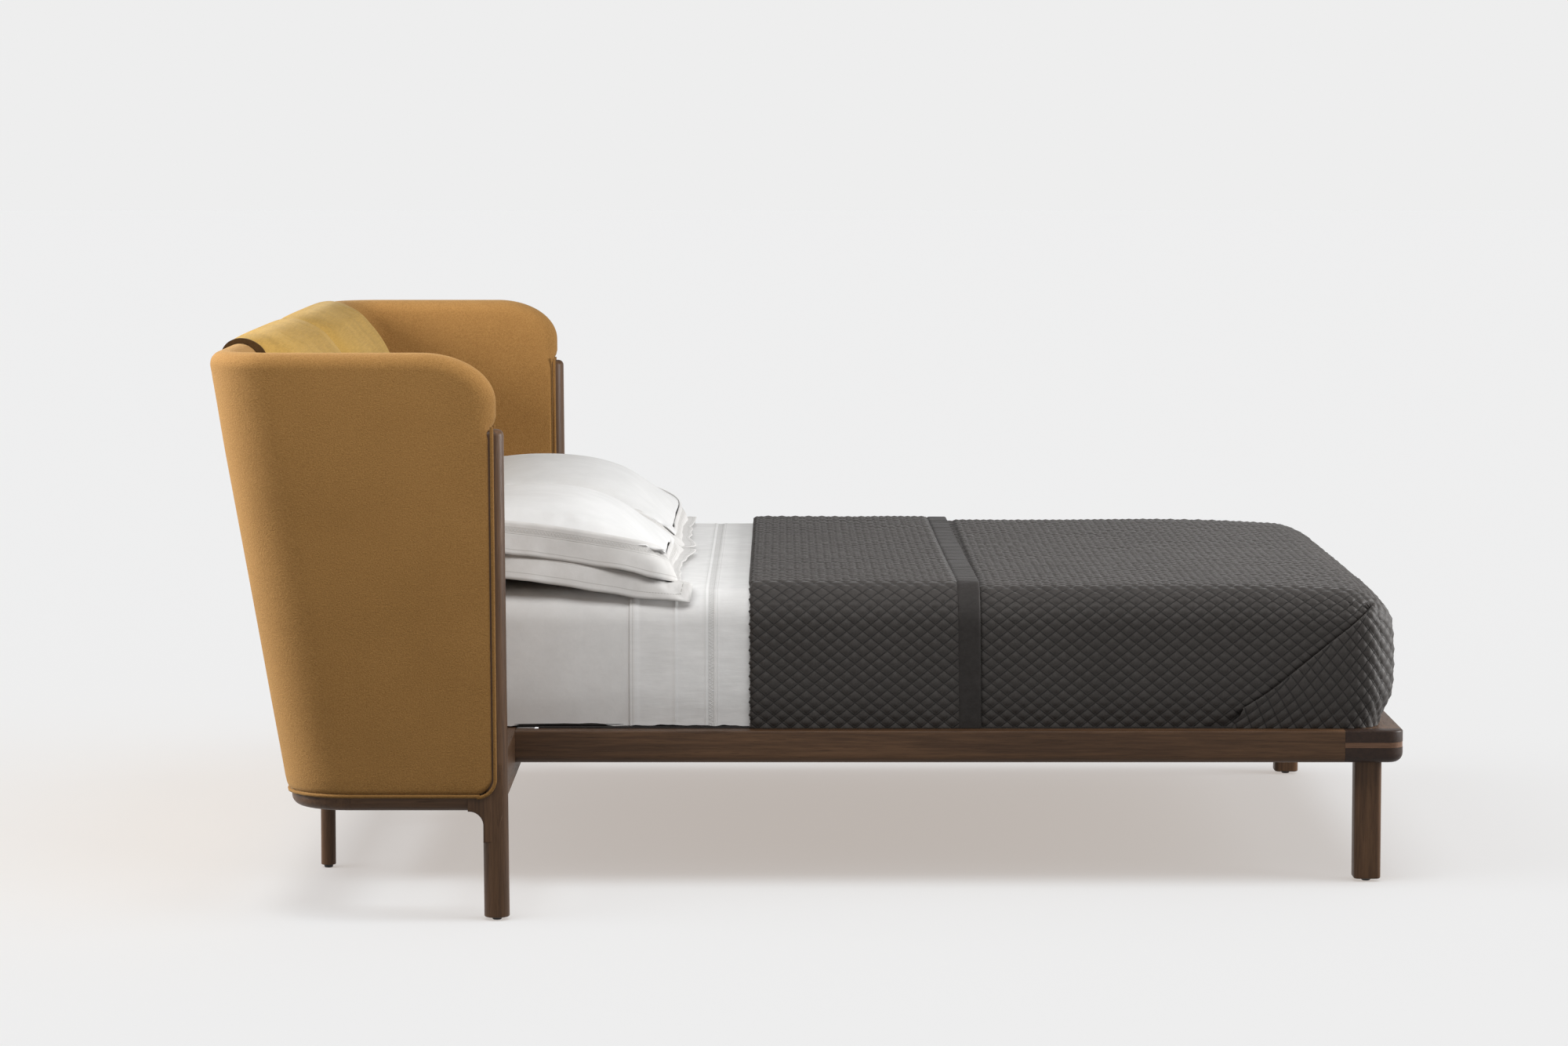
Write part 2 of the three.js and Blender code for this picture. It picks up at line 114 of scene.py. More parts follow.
class Graph:
    """One material's node graph."""

    def __init__(self, name: str) -> None:
        """Start a material with a Principled shader on its output."""
        self.material = bpy.data.materials.new(name)
        self.material.use_nodes = True
        self.tree = self.material.node_tree
        self.shader = self.tree.nodes["Principled BSDF"]
        self._place = self.node("ShaderNodeTexCoord")

    def node(self, kind: str, settings: dict[str, Any] | None = None, *inputs: Any, **named: Any) -> Any:
        """Add one node.

        Args:
            kind: The node's type.
            settings: Attributes set before its inputs.
            inputs: Values, sockets or constants for its enabled inputs, in order.
            named: The same by input name, with underscores for spaces.

        Returns:
            The node.
        """
        made = self.tree.nodes.new(kind)
        for key, value in (settings or {}).items():
            setattr(made, key, value)
        enabled = [socket for socket in made.inputs if socket.enabled]
        pairs = list(zip(enabled, inputs))
        pairs += [(made.inputs[key.replace("_", " ")], value) for key, value in named.items()]
        for socket, value in pairs:
            self.feed(socket, value)
        return made

    def feed(self, socket: Any, value: Any) -> None:
        """Link or set one input socket."""
        if isinstance(value, Value):
            value = value.socket
        if isinstance(value, bpy.types.NodeSocket):
            self.tree.links.new(value, socket)
        else:
            socket.default_value = value

    def place(self, scale: Point = (1, 1, 1), source: str = "Object", turn: Point = (0, 0, 0)) -> Any:
        """Coordinates of the surface, scaled and turned.

        Args:
            scale: Scale along each axis.
            source: Object or UV.
            turn: Rotation in radians.

        Returns:
            A vector socket.
        """
        where = self._place.outputs[source]
        node = self.node("ShaderNodeMapping", None, Vector=where, Scale=tuple(scale), Rotation=tuple(turn))
        return node.outputs[0]

    def axes(self, vector: Any) -> tuple[Value, Value, Value]:
        """The three components of a vector socket."""
        split = self.node("ShaderNodeSeparateXYZ", None, vector)
        return tuple(Value(self, out) for out in split.outputs)

    def noise(self, scale: float, detail: float = 2.0, rough: float = 0.5, where: Any = None) -> Value:
        """Fractal noise from 0 to 1, with `scale` cells to the metre."""
        vector = self.place() if where is None else where
        settings = {"Vector": vector, "Scale": scale, "Detail": detail, "Roughness": rough}
        node = self.node("ShaderNodeTexNoise", None, **settings)
        return Value(self, node.outputs[0])

    def mix(self, amount: Any, low: Any, high: Any) -> Any:
        """Blend of two colours, as a colour socket."""
        settings = {"data_type": "RGBA", "blend_type": "MIX"}
        opaque = [(*c, 1.0) if isinstance(c, tuple) and len(c) == 3 else c for c in (low, high)]
        node = self.node("ShaderNodeMix", settings, amount, *opaque)
        return next(socket for socket in node.outputs if socket.enabled)

    def surface(self, colour: Any, rough: Any, height: Value | None = None, depth: float = 0.0) -> None:
        """Feed the shader.

        Args:
            colour: Base colour.
            rough: Roughness.
            height: Height from 0 to 1 for the bump, if any.
            depth: What a height of 1 stands for, in metres.
        """
        self.feed(self.shader.inputs["Base Color"], colour)
        self.feed(self.shader.inputs["Roughness"], rough)
        if height is not None:
            bump = self.node("ShaderNodeBump", None, Height=height, Distance=depth, Strength=1.0)
            self.feed(self.shader.inputs["Normal"], bump.outputs[0])

    def constant(self, **named: float) -> None:
        """Set shader inputs that are the same all over, by name with underscores."""
        for key, value in named.items():
            self.shader.inputs[key.replace("_", " ")].default_value = value


def cached(build: Callable[[Any], Any]) -> Callable[[Any], Any]:
    """Make a finish build its material once."""
    made: dict[Any, Any] = {}

    def once(finish: Any) -> Any:
        """Return the finish's material, building it the first time."""
        if finish not in made:
            made[finish] = build(finish)
        return made[finish]

    return once


# ---------------------------------------------------------------- finishes


class Axis(Enum):
    """Direction of a grain or a run of cloth."""

    X = 0
    Y = 1
    Z = 2


@dataclass(frozen=True)
class Timber:
    """Oiled wood with long grain, fine pores and a little wear."""

    name: str
    grain: Axis
    dark: Colour = (0.044, 0.0210, 0.0096)
    light: Colour = (0.138, 0.0725, 0.0360)
    rough: float = 0.42
    figure: float = 1.0

    @cached
    def material(self) -> bpy.types.Material:
        """Build the material."""
        graph = Graph(self.name)
        stretch = [34.0, 34.0, 34.0]
        stretch[self.grain.value] = 1.6
        along = graph.place(stretch)
        bands = graph.noise(self.figure, 3.0, 0.55, along)
        streaks = graph.noise(5.5 * self.figure, 4.0, 0.6, along)
        fine = [900.0, 900.0, 900.0]
        fine[self.grain.value] = 22.0
        pores = graph.noise(1.0, 2.0, 0.6, graph.place(fine)).smooth(0.56, 0.72)
        tone = (bands * 0.6 + streaks * 0.55 - 0.075).smooth(0.22, 0.82)
        base = graph.mix(tone, self.dark, self.light)
        pored = graph.mix(pores * 0.55, base, tuple(c * 0.45 for c in self.dark))
        rough = self.rough + pores * 0.2 + (bands - 0.5) * 0.12
        graph.surface(pored, rough, 1.0 - pores + streaks * 0.35, 0.00012)
        graph.constant(Specular_IOR_Level=0.24)
        return graph.material


@dataclass(frozen=True)
class FeltedWool:
    """Dense felted wool cloth: soft flecks, broad clouds of tone and a fibrous nap."""

    name: str = "ochre_wool"
    dark: Colour = (0.235, 0.118, 0.034)
    light: Colour = (0.395, 0.210, 0.068)

    @cached
    def material(self) -> bpy.types.Material:
        """Build the material."""
        graph = Graph(self.name)
        nap = graph.noise(720.0, 3.0, 0.65)
        flecks = graph.noise(330.0, 3.0, 0.6)
        clouds = graph.noise(7.0, 3.0, 0.5)
        tone = nap * 0.46 + flecks * 0.46 + clouds * 0.12
        colour = graph.mix((tone - 0.02).smooth(0.28, 0.74), self.dark, self.light)
        graph.surface(colour, 0.92, nap * 0.6 + flecks, 0.0011)
        graph.constant(Sheen_Weight=0.28, Sheen_Roughness=0.45, Specular_IOR_Level=0.12)
        graph.shader.inputs["Sheen Tint"].default_value = (0.9, 0.66, 0.36, 1)
        return graph.material


@dataclass(frozen=True)
class SlubVelvet:
    """Short-pile cloth with uneven slubs running across it and a changing sheen."""

    name: str = "olive_velvet"
    dark: Colour = (0.270, 0.160, 0.040)
    light: Colour = (0.500, 0.308, 0.080)

    @cached
    def material(self) -> bpy.types.Material:
        """Build the material."""
        graph = Graph(self.name)
        slubs = graph.noise(1.0, 4.0, 0.6, graph.place((300.0, 14.0, 300.0)))
        threads = graph.noise(1.0, 2.0, 0.5, graph.place((40.0, 900.0, 40.0)))
        crush = graph.noise(9.0, 3.0, 0.55)
        tone = slubs * 0.55 + threads * 0.22 + crush * 0.5
        colour = graph.mix((tone - 0.13).smooth(0.10, 0.90), self.dark, self.light)
        graph.surface(colour, 0.82, slubs * 0.8 + threads * 0.4, 0.0009)
        graph.constant(Sheen_Weight=0.16, Sheen_Roughness=0.3, Specular_IOR_Level=0.10)
        graph.shader.inputs["Sheen Tint"].default_value = (0.88, 0.74, 0.48, 1)
        return graph.material


@dataclass(frozen=True)
class PlainCloth:
    """Plain woven cloth: crossed threads, slight creasing and a soft colour drift."""

    name: str
    dark: Colour
    light: Colour
    rough: float = 0.85
    thread: float = 0.0011
    crease: float = 0.0014
    sheen: float = 0.1
    specular: float = 0.2

    @cached
    def material(self) -> bpy.types.Material:
        """Build the material."""
        graph = Graph(self.name)
        x, y, z = graph.axes(graph.place())
        warp = (x + z * 0.35).wave(self.thread)
        weft = (y + z).wave(self.thread * 1.1)
        weave = warp * 0.5 + weft * 0.5
        creases = graph.noise(16.0, 4.0, 0.6)
        slack = graph.noise(3.2, 2.0, 0.5)
        tone = creases * 0.45 + slack * 0.45 + weave * 0.12
        colour = graph.mix(tone.smooth(0.3, 0.72), self.dark, self.light)
        height = weave * (0.05 * self.thread / self.crease) * 4.0 + creases
        graph.surface(colour, self.rough, height, self.crease)
        graph.constant(Sheen_Weight=self.sheen, Specular_IOR_Level=self.specular)
        return graph.material


@dataclass(frozen=True)
class Openwork(PlainCloth):
    """Plain cloth whose UV map runs along a flange: drawn threads in a zigzag, a hem line and stitches, all
    darkened grey as painted shade in the holes and under the hem.
    """

    zigzag: float = 0.0075
    period: float = 0.0068
    stitches: float = 0.047

    @cached
    def material(self) -> bpy.types.Material:
        """Build the material."""
        graph = Graph(self.name)
        along, across, _ = graph.axes(graph.place(source="UV"))
        swing = along.wave(self.period) * 0.006 - 0.003
        thread = (across - self.zigzag - swing).absolute().smooth(0.0006, 0.0016)
        near = (across - self.zigzag).absolute().below(0.0052)
        holes = thread * near
        hem = (across - self.zigzag - 0.0085).absolute().smooth(0.0003, 0.0010)
        dots = along.wave(0.0032).smooth(0.25, 0.5)
        row = 1.0 - (across - self.stitches).absolute().smooth(0.0004, 0.0011)
        creases = graph.noise(22.0, 4.0, 0.6)
        tone = (creases * 0.7 + 0.15).smooth(0.3, 0.72)
        colour = graph.mix(tone, self.dark, self.light)
        # Painted shade: the drawn-thread holes, the hem line and the stitch dots are darkened grey as the
        # shade in them and under the hem.
        painted_shade = (holes * 0.28).most((1.0 - hem) * 0.22).most(row * dots * 0.7)
        with_painted_shade = graph.mix(painted_shade, colour, (0.30, 0.285, 0.26))
        height = creases * 0.6 + hem * 0.25 + (1.0 - holes) * 0.4
        graph.surface(with_painted_shade, self.rough, height, self.crease)
        graph.constant(Sheen_Weight=self.sheen, Specular_IOR_Level=self.specular)
        return graph.material


@dataclass(frozen=True)
class DrawnSheet(PlainCloth):
    """Plain cloth with a drawn-thread band at one place along X and fine creases across it; the band's holes,
    its two rule lines and the hem line are darkened grey as painted shade.
    """

    band: float = -0.2047
    hem: float = -0.3615

    @cached
    def material(self) -> bpy.types.Material:
        """Build the material."""
        graph = Graph(self.name)
        x, y, z = graph.axes(graph.place())
        along = z + y
        swing = along.wave(0.0068) * 0.0075 - 0.00375
        thread = (x - self.band - swing).absolute().smooth(0.0007, 0.0019)
        near = (x - self.band).absolute().below(0.0058)
        holes = thread * near
        line = (x - self.band).absolute() - 0.0125
        rules = line.absolute().smooth(0.0003, 0.0009)
        hem = (x - self.hem).absolute().smooth(0.0004, 0.0011)
        creases = graph.noise(16.0, 4.0, 0.6)
        puckers = graph.noise(1.0, 3.0, 0.6, graph.place((14.0, 90.0, 90.0)))
        tone = (creases * 0.55 + puckers * 0.3 + 0.05).smooth(0.3, 0.72)
        colour = graph.mix(tone, self.dark, self.light)
        # Painted shade: the drawn-thread holes, the rule lines and the hem line are darkened grey as the
        # shade in the holes and beside the stitched steps.
        painted_shade = (holes * 0.26).most((1.0 - rules) * 0.16).most((1.0 - hem) * 0.16)
        with_painted_shade = graph.mix(painted_shade, colour, (0.30, 0.285, 0.26))
        height = creases * 0.5 + puckers * 0.4 + (1.0 - holes) * 0.35 + rules * 0.2 + hem * 0.2
        graph.surface(with_painted_shade, self.rough, height, self.crease)
        graph.constant(Sheen_Weight=self.sheen, Specular_IOR_Level=self.specular)
        return graph.material


@dataclass(frozen=True)
class Quilting:
    """Fine charcoal cotton sateen over wadding."""

    name: str = "charcoal_quilting"
    rough: float = 0.58
    dark: Colour = (0.029, 0.0246, 0.0220)
    light: Colour = (0.045, 0.0395, 0.0362)
    stitched: bool = True
    sheen: float = 0.16
    specular: float = 0.30

    @cached
    def material(self) -> bpy.types.Material:
        """Build the material; its UV map counts the diamonds, so whole numbers are lines of stitching,
        painted near black as the shade in the quilting's creases.
        """
        graph = Graph(self.name)
        x, y, z = graph.axes(graph.place())
        weave = (x * 0.7 + z).wave(0.0009) * 0.5 + (y + z * 0.4).wave(0.0011) * 0.5
        rumple = graph.noise(85.0, 3.0, 0.6)
        slack = graph.noise(6.0, 2.0, 0.5)
        tone = (rumple * 0.5 + slack * 0.4 + weave * 0.1).smooth(0.3, 0.7)
        colour = graph.mix(tone, self.dark, self.light)
        height = rumple + weave * 0.06
        if self.stitched:
            across, along, _ = graph.axes(graph.place(source="UV"))
            seam = 1.0 - across.wave(1.0).least(along.wave(1.0)).smooth(0.02, 0.17)
            # Painted shade: the stitch lines are darkened to near black, standing for the shade in the
            # quilting's creases.
            colour = graph.mix(seam * 0.72, colour, tuple(part * 0.2 for part in self.dark))
            height = height - seam * 0.5
        graph.surface(colour, self.rough + (slack - 0.5) * 0.12, height, 0.0011)
        graph.constant(Sheen_Weight=self.sheen, Sheen_Roughness=0.35, Specular_IOR_Level=self.specular)
        return graph.material


@dataclass(frozen=True)
class Ticking:
    """Mattress ticking: off-white cloth with grey stripes along the bed; below a height it is painted near
    black as the shade in the gap above the rails.
    """

    name: str = "ticking"
    # Height below which the ticking is painted near black as shade.
    border: float = 0.345

    @cached
    def material(self) -> bpy.types.Material:
        """Build the material."""
        graph = Graph(self.name)
        _, y, z = graph.axes(graph.place())
        stripe = (y.absolute() + z).wave(0.022).smooth(0.72, 0.8)
        fine = ((y.absolute() + z).wave(0.022) - 0.5).absolute().smooth(0.05, 0.09)
        weave = graph.noise(900.0, 2.0, 0.5)
        body = graph.mix(weave, (0.60, 0.59, 0.56), (0.72, 0.71, 0.68))
        striped = graph.mix(stripe * 0.8 + (1.0 - fine) * 0.5, body, (0.22, 0.25, 0.29))
        # Painted shade: near black below that height, where the gap above the rails lies in shade.
        striped = graph.mix(z.below(self.border), striped, (0.012, 0.011, 0.010))
        graph.surface(striped, 0.86, weave, 0.0004)
        graph.constant(Specular_IOR_Level=0.2)
        return graph.material


@dataclass(frozen=True)
class Moulding:
    """Moulded or plated part with a faint grain and rubbed tone."""

    name: str
    dark: Colour
    light: Colour
    rough: float
    metal: float = 0.0

    @cached
    def material(self) -> bpy.types.Material:
        """Build the material."""
        graph = Graph(self.name)
        grain = graph.noise(1400.0, 2.0, 0.5)
        rubbed = graph.noise(60.0, 3.0, 0.6)
        colour = graph.mix(rubbed.smooth(0.35, 0.7), self.dark, self.light)
        graph.surface(colour, self.rough + (rubbed - 0.5) * 0.2, grain, 0.00006)
        graph.constant(Metallic=self.metal)
        return graph.material


WALNUT = {axis: Timber(f"walnut_{axis.name.lower()}", axis) for axis in Axis}
WALNUT_END = Timber("walnut_end", Axis.Y, (0.018, 0.009, 0.006), (0.040, 0.021, 0.013), figure=2.4)
WALNUT_TONGUE = Timber("walnut_tongue", Axis.X, (0.10, 0.050, 0.028), (0.205, 0.112, 0.066), figure=1.6)
POPLAR = {
    axis: Timber(f"poplar_{axis.name.lower()}", axis, (0.42, 0.27, 0.13), (0.63, 0.46, 0.26), 0.62)
    for axis in Axis
}
WOOL = FeltedWool()
WELT_WOOL = FeltedWool("welt_wool", (0.19, 0.094, 0.027), (0.32, 0.168, 0.054))
VELVET = SlubVelvet()
# Dark brown velvet for the back cushions' ends: a binding darkened partly as painted shade at the outer end,
# and wholly painted shade in the valley at the inner end.
END_BAND_AND_SHADE_VELVET = SlubVelvet("end_binding_and_shade", (0.050, 0.026, 0.010), (0.105, 0.058, 0.022))
TICKING_SHADED_BELOW = Ticking()
LINEN = PlainCloth("white_cotton", (0.71, 0.705, 0.695), (0.81, 0.805, 0.795))
# Painted shade: the pillow cases are the sheets' white cotton made darker, and their hanging flanges darker
# still, to stand for the light they lose.
PILLOW_COTTON_SHADED = PlainCloth("pillow_cotton_painted_darker", (0.635, 0.632, 0.625), (0.715, 0.712, 0.706))
HEMSTITCHED_SHADED = Openwork("hemstitched_cotton_painted_shade", (0.575, 0.562, 0.545), (0.655, 0.643, 0.628))
DRAWN_SHEET = DrawnSheet("drawn_thread_sheet", (0.71, 0.705, 0.695), (0.81, 0.805, 0.795))
QUILTING = Quilting()
# Plain charcoal cloth: the coverlet's head band, and also near-black painted shade on the mattress piping and
# on the strips by the rails.
CHARCOAL_BAND_AND_SHADE = Quilting(
    "charcoal_band_and_shade", 0.55, (0.025, 0.0220, 0.0205), (0.037, 0.0332, 0.0313), False, 0.05, 0.14
)
NYLON = Moulding("glide_nylon", (0.006, 0.006, 0.006), (0.014, 0.014, 0.014), 0.5)
STEEL = Moulding("bracket_steel", (0.35, 0.35, 0.36), (0.5, 0.5, 0.51), 0.36, 1.0)


# ---------------------------------------------------------------- making and placing pieces


@dataclass
class Piece:
    """A mesh under construction and what it will be."""

    name: str
    body: str = "bed_frame"
    mesh: bmesh.types.BMesh = field(default_factory=bmesh.new)

    def weld(self, distance: float = 1e-5, outward: bool = True) -> "Piece":
        """Merge doubles and, if asked, turn every face outwards."""
        bmesh.ops.remove_doubles(self.mesh, verts=self.mesh.verts, dist=distance)
        if outward:
            bmesh.ops.recalc_face_normals(self.mesh, faces=self.mesh.faces)
        return self

    def place(
        self,
        *finishes: Any,
        slot: str,
        replaces: Sequence[str] = (),
        smooth: float = 0.6,
    ) -> bpy.types.Object:
        """Turn the mesh into an object that rides on its body.

        Args:
            finishes: Finishes in the order of the faces' material numbers.
            slot: The record's material slot; not used.
            replaces: CAD nodes that this piece stands for.
            smooth: Edges above this angle in radians stay sharp.

        Returns:
            The object.
        """
        data = bpy.data.meshes.new(self.name)
        for face in self.mesh.faces:
            face.smooth = True
        for edge in self.mesh.edges:
            if len(edge.link_faces) == 2 and edge.calc_face_angle(0) > smooth:
                edge.smooth = False
        self.mesh.to_mesh(data)
        self.mesh.free()
        thing = bpy.data.objects.new(self.name, data)
        bpy.context.scene.collection.objects.link(thing)
        for finish in finishes:
            data.materials.append(finish.material())
        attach(thing, self.body)
        if replaces:
            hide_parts(*replaces)
        log.info("%s: %d faces on %s", self.name, len(data.polygons), self.body)
        return thing


def bevel(
    mesh: bmesh.types.BMesh, edges: Sequence[Any], width: float, steps: int, clamp: bool = False
) -> None:
    """Round edges off over a width, in a number of steps."""
    bmesh.ops.bevel(
        mesh,
        geom=edges,
        offset=width,
        affect="EDGES",
        segments=steps,
        profile=0.5,
        material=-1,
        clamp_overlap=clamp,
    )


def absorb(mesh: bmesh.types.BMesh, other: bmesh.types.BMesh, material: int = 0) -> None:
    """Move another mesh into this one, its faces under one material number."""
    for face in other.faces:
        face.material_index = material
    data = bpy.data.meshes.new("part")
    other.to_mesh(data)
    other.free()
    mesh.from_mesh(data)
    bpy.data.meshes.remove(data)


def cut(mesh: bmesh.types.BMesh, point: Point, normal: Point, drop: bool = False) -> None:
    """Part a mesh along an upright plane, and drop what lies beyond it if asked."""
    geometry = mesh.verts[:] + mesh.edges[:] + mesh.faces[:]
    place, away = (*point, 0), (*normal, 0)
    bmesh.ops.bisect_plane(mesh, geom=geometry, dist=1e-6, plane_co=place, plane_no=away, clear_outer=drop)


def upright(mesh: bmesh.types.BMesh, length: float) -> list[bmesh.types.BMEdge]:
    """Edges that climb by more than a length."""
    return [e for e in mesh.edges if abs(e.verts[0].co.z - e.verts[1].co.z) > length]


def box_into(mesh: bmesh.types.BMesh, low: Point, high: Point) -> list[bmesh.types.BMVert]:
    """Add a box between two corners and return its vertices."""
    size = Vector(high) - Vector(low)
    centre = (Vector(high) + Vector(low)) / 2
    matrix = Matrix.Translation(centre) @ Matrix.Diagonal((*size, 1))
    return bmesh.ops.create_cube(mesh, size=1.0, matrix=matrix)["verts"]


def arc(centre: Point, radius: float, start: float, stop: float, steps: int) -> list[tuple[float, float]]:
    """Points along an arc in a plane, both ends included; angles in degrees."""
    turns = [math.radians(start + (stop - start) * i / steps) for i in range(steps + 1)]
    return [(centre[0] + radius * math.cos(a), centre[1] + radius * math.sin(a)) for a in turns]


def prism(
    mesh: bmesh.types.BMesh, outline: Iterable[Point], to_space: Callable[..., Point], low: float, high: float
) -> None:
    """Extrude an outline.

    Args:
        mesh: Mesh that receives the prism.
        outline: Points (a, b) of the closed outline.
        to_space: Gives the point in space for (a, b, t).
        low: t of the first face.
        high: t of the last face.
    """
    ring = [mesh.verts.new(to_space(a, b, low)) for a, b in outline]
    face = mesh.faces.new(ring)
    grown = bmesh.ops.extrude_face_region(mesh, geom=[face], use_keep_orig=True)["geom"]
    shift = Vector(to_space(0, 0, high)) - Vector(to_space(0, 0, low))
    verts = [g for g in grown if isinstance(g, bmesh.types.BMVert)]
    bmesh.ops.translate(mesh, verts=verts, vec=shift)
    bmesh.ops.recalc_face_normals(mesh, faces=mesh.faces)


def side_view(a: float, b: float, t: float) -> Point:
    """An outline in X and Z carried along Y."""
    return (a, t, b)


def end_view(a: float, b: float, t: float) -> Point:
    """An outline in Y and Z carried along X."""
    return (t, a, b)


def turned_into(mesh: bmesh.types.BMesh, profile: Sequence[Point], steps: int) -> list[bmesh.types.BMVert]:
    """Spin a (radius, height) profile about Z and return the new vertices."""
    before = set(mesh.verts)
    line = [mesh.verts.new((radius, 0, height)) for radius, height in profile]
    edges = [mesh.edges.new(pair) for pair in zip(line, line[1:])]
    bmesh.ops.spin(
        mesh,
        geom=line + edges,
        cent=(0, 0, 0),
        axis=(0, 0, 1),
        angle=math.tau,
        steps=steps,
        use_merge=True,
        use_duplicate=False,
    )
    made = [v for v in mesh.verts if v not in before]
    bmesh.ops.remove_doubles(mesh, verts=made, dist=1e-6)
    return [v for v in mesh.verts if v not in before]


def tube(path: Sequence[Point], radius: float, closed: bool = False) -> bmesh.types.BMesh:
    """A round welt along a path, as a closed mesh.

    Args:
        path: Points of its centre line.
        radius: Radius of the welt.
        closed: Join the ends.

    Returns:
        The mesh.
    """
    curve = bpy.data.curves.new("welt", "CURVE")
    curve.dimensions = "3D"
    curve.bevel_depth = radius
    curve.bevel_resolution = 3
    curve.use_fill_caps = not closed
    spline = curve.splines.new("POLY")
    spline.points.add(len(path) - 1)
    for point, co in zip(spline.points, path):
        point.co = (*co, 1)
    spline.use_cyclic_u = closed
    holder = bpy.data.objects.new("welt", curve)
    bpy.context.scene.collection.objects.link(holder)
    graph = bpy.context.evaluated_depsgraph_get()
    data = bpy.data.meshes.new_from_object(holder.evaluated_get(graph))
    mesh = bmesh.new()
    mesh.from_mesh(data)
    bpy.data.objects.remove(holder)
    bpy.data.meshes.remove(data)
    bpy.data.curves.remove(curve)
    bmesh.ops.remove_doubles(mesh, verts=mesh.verts, dist=1e-6)
    bmesh.ops.recalc_face_normals(mesh, faces=mesh.faces)
    return mesh


def smoothstep(value: float, low: float, high: float) -> float:
    """0 at or below low, 1 at or above high, smooth between."""
    t = min(1.0, max(0.0, (value - low) / (high - low)))
    return t * t * (3 - 2 * t)


SIDES = {"left": 1, "right": -1}


# ---------------------------------------------------------------- studio


@dataclass(frozen=True)
class Softbox:
    """A rectangular lamp: its place, the point it faces, its size and its power."""

    name: str
    place: Point
    target: Point
    size: Point
    power: float


@dataclass(frozen=True)
class Sky:
    """A very large round lamp overhead, for the floor alone or for the bed alone."""

    name: str
    strength: float
    spread: float
    tilt: tuple[float, float, float]
    for_floor: bool


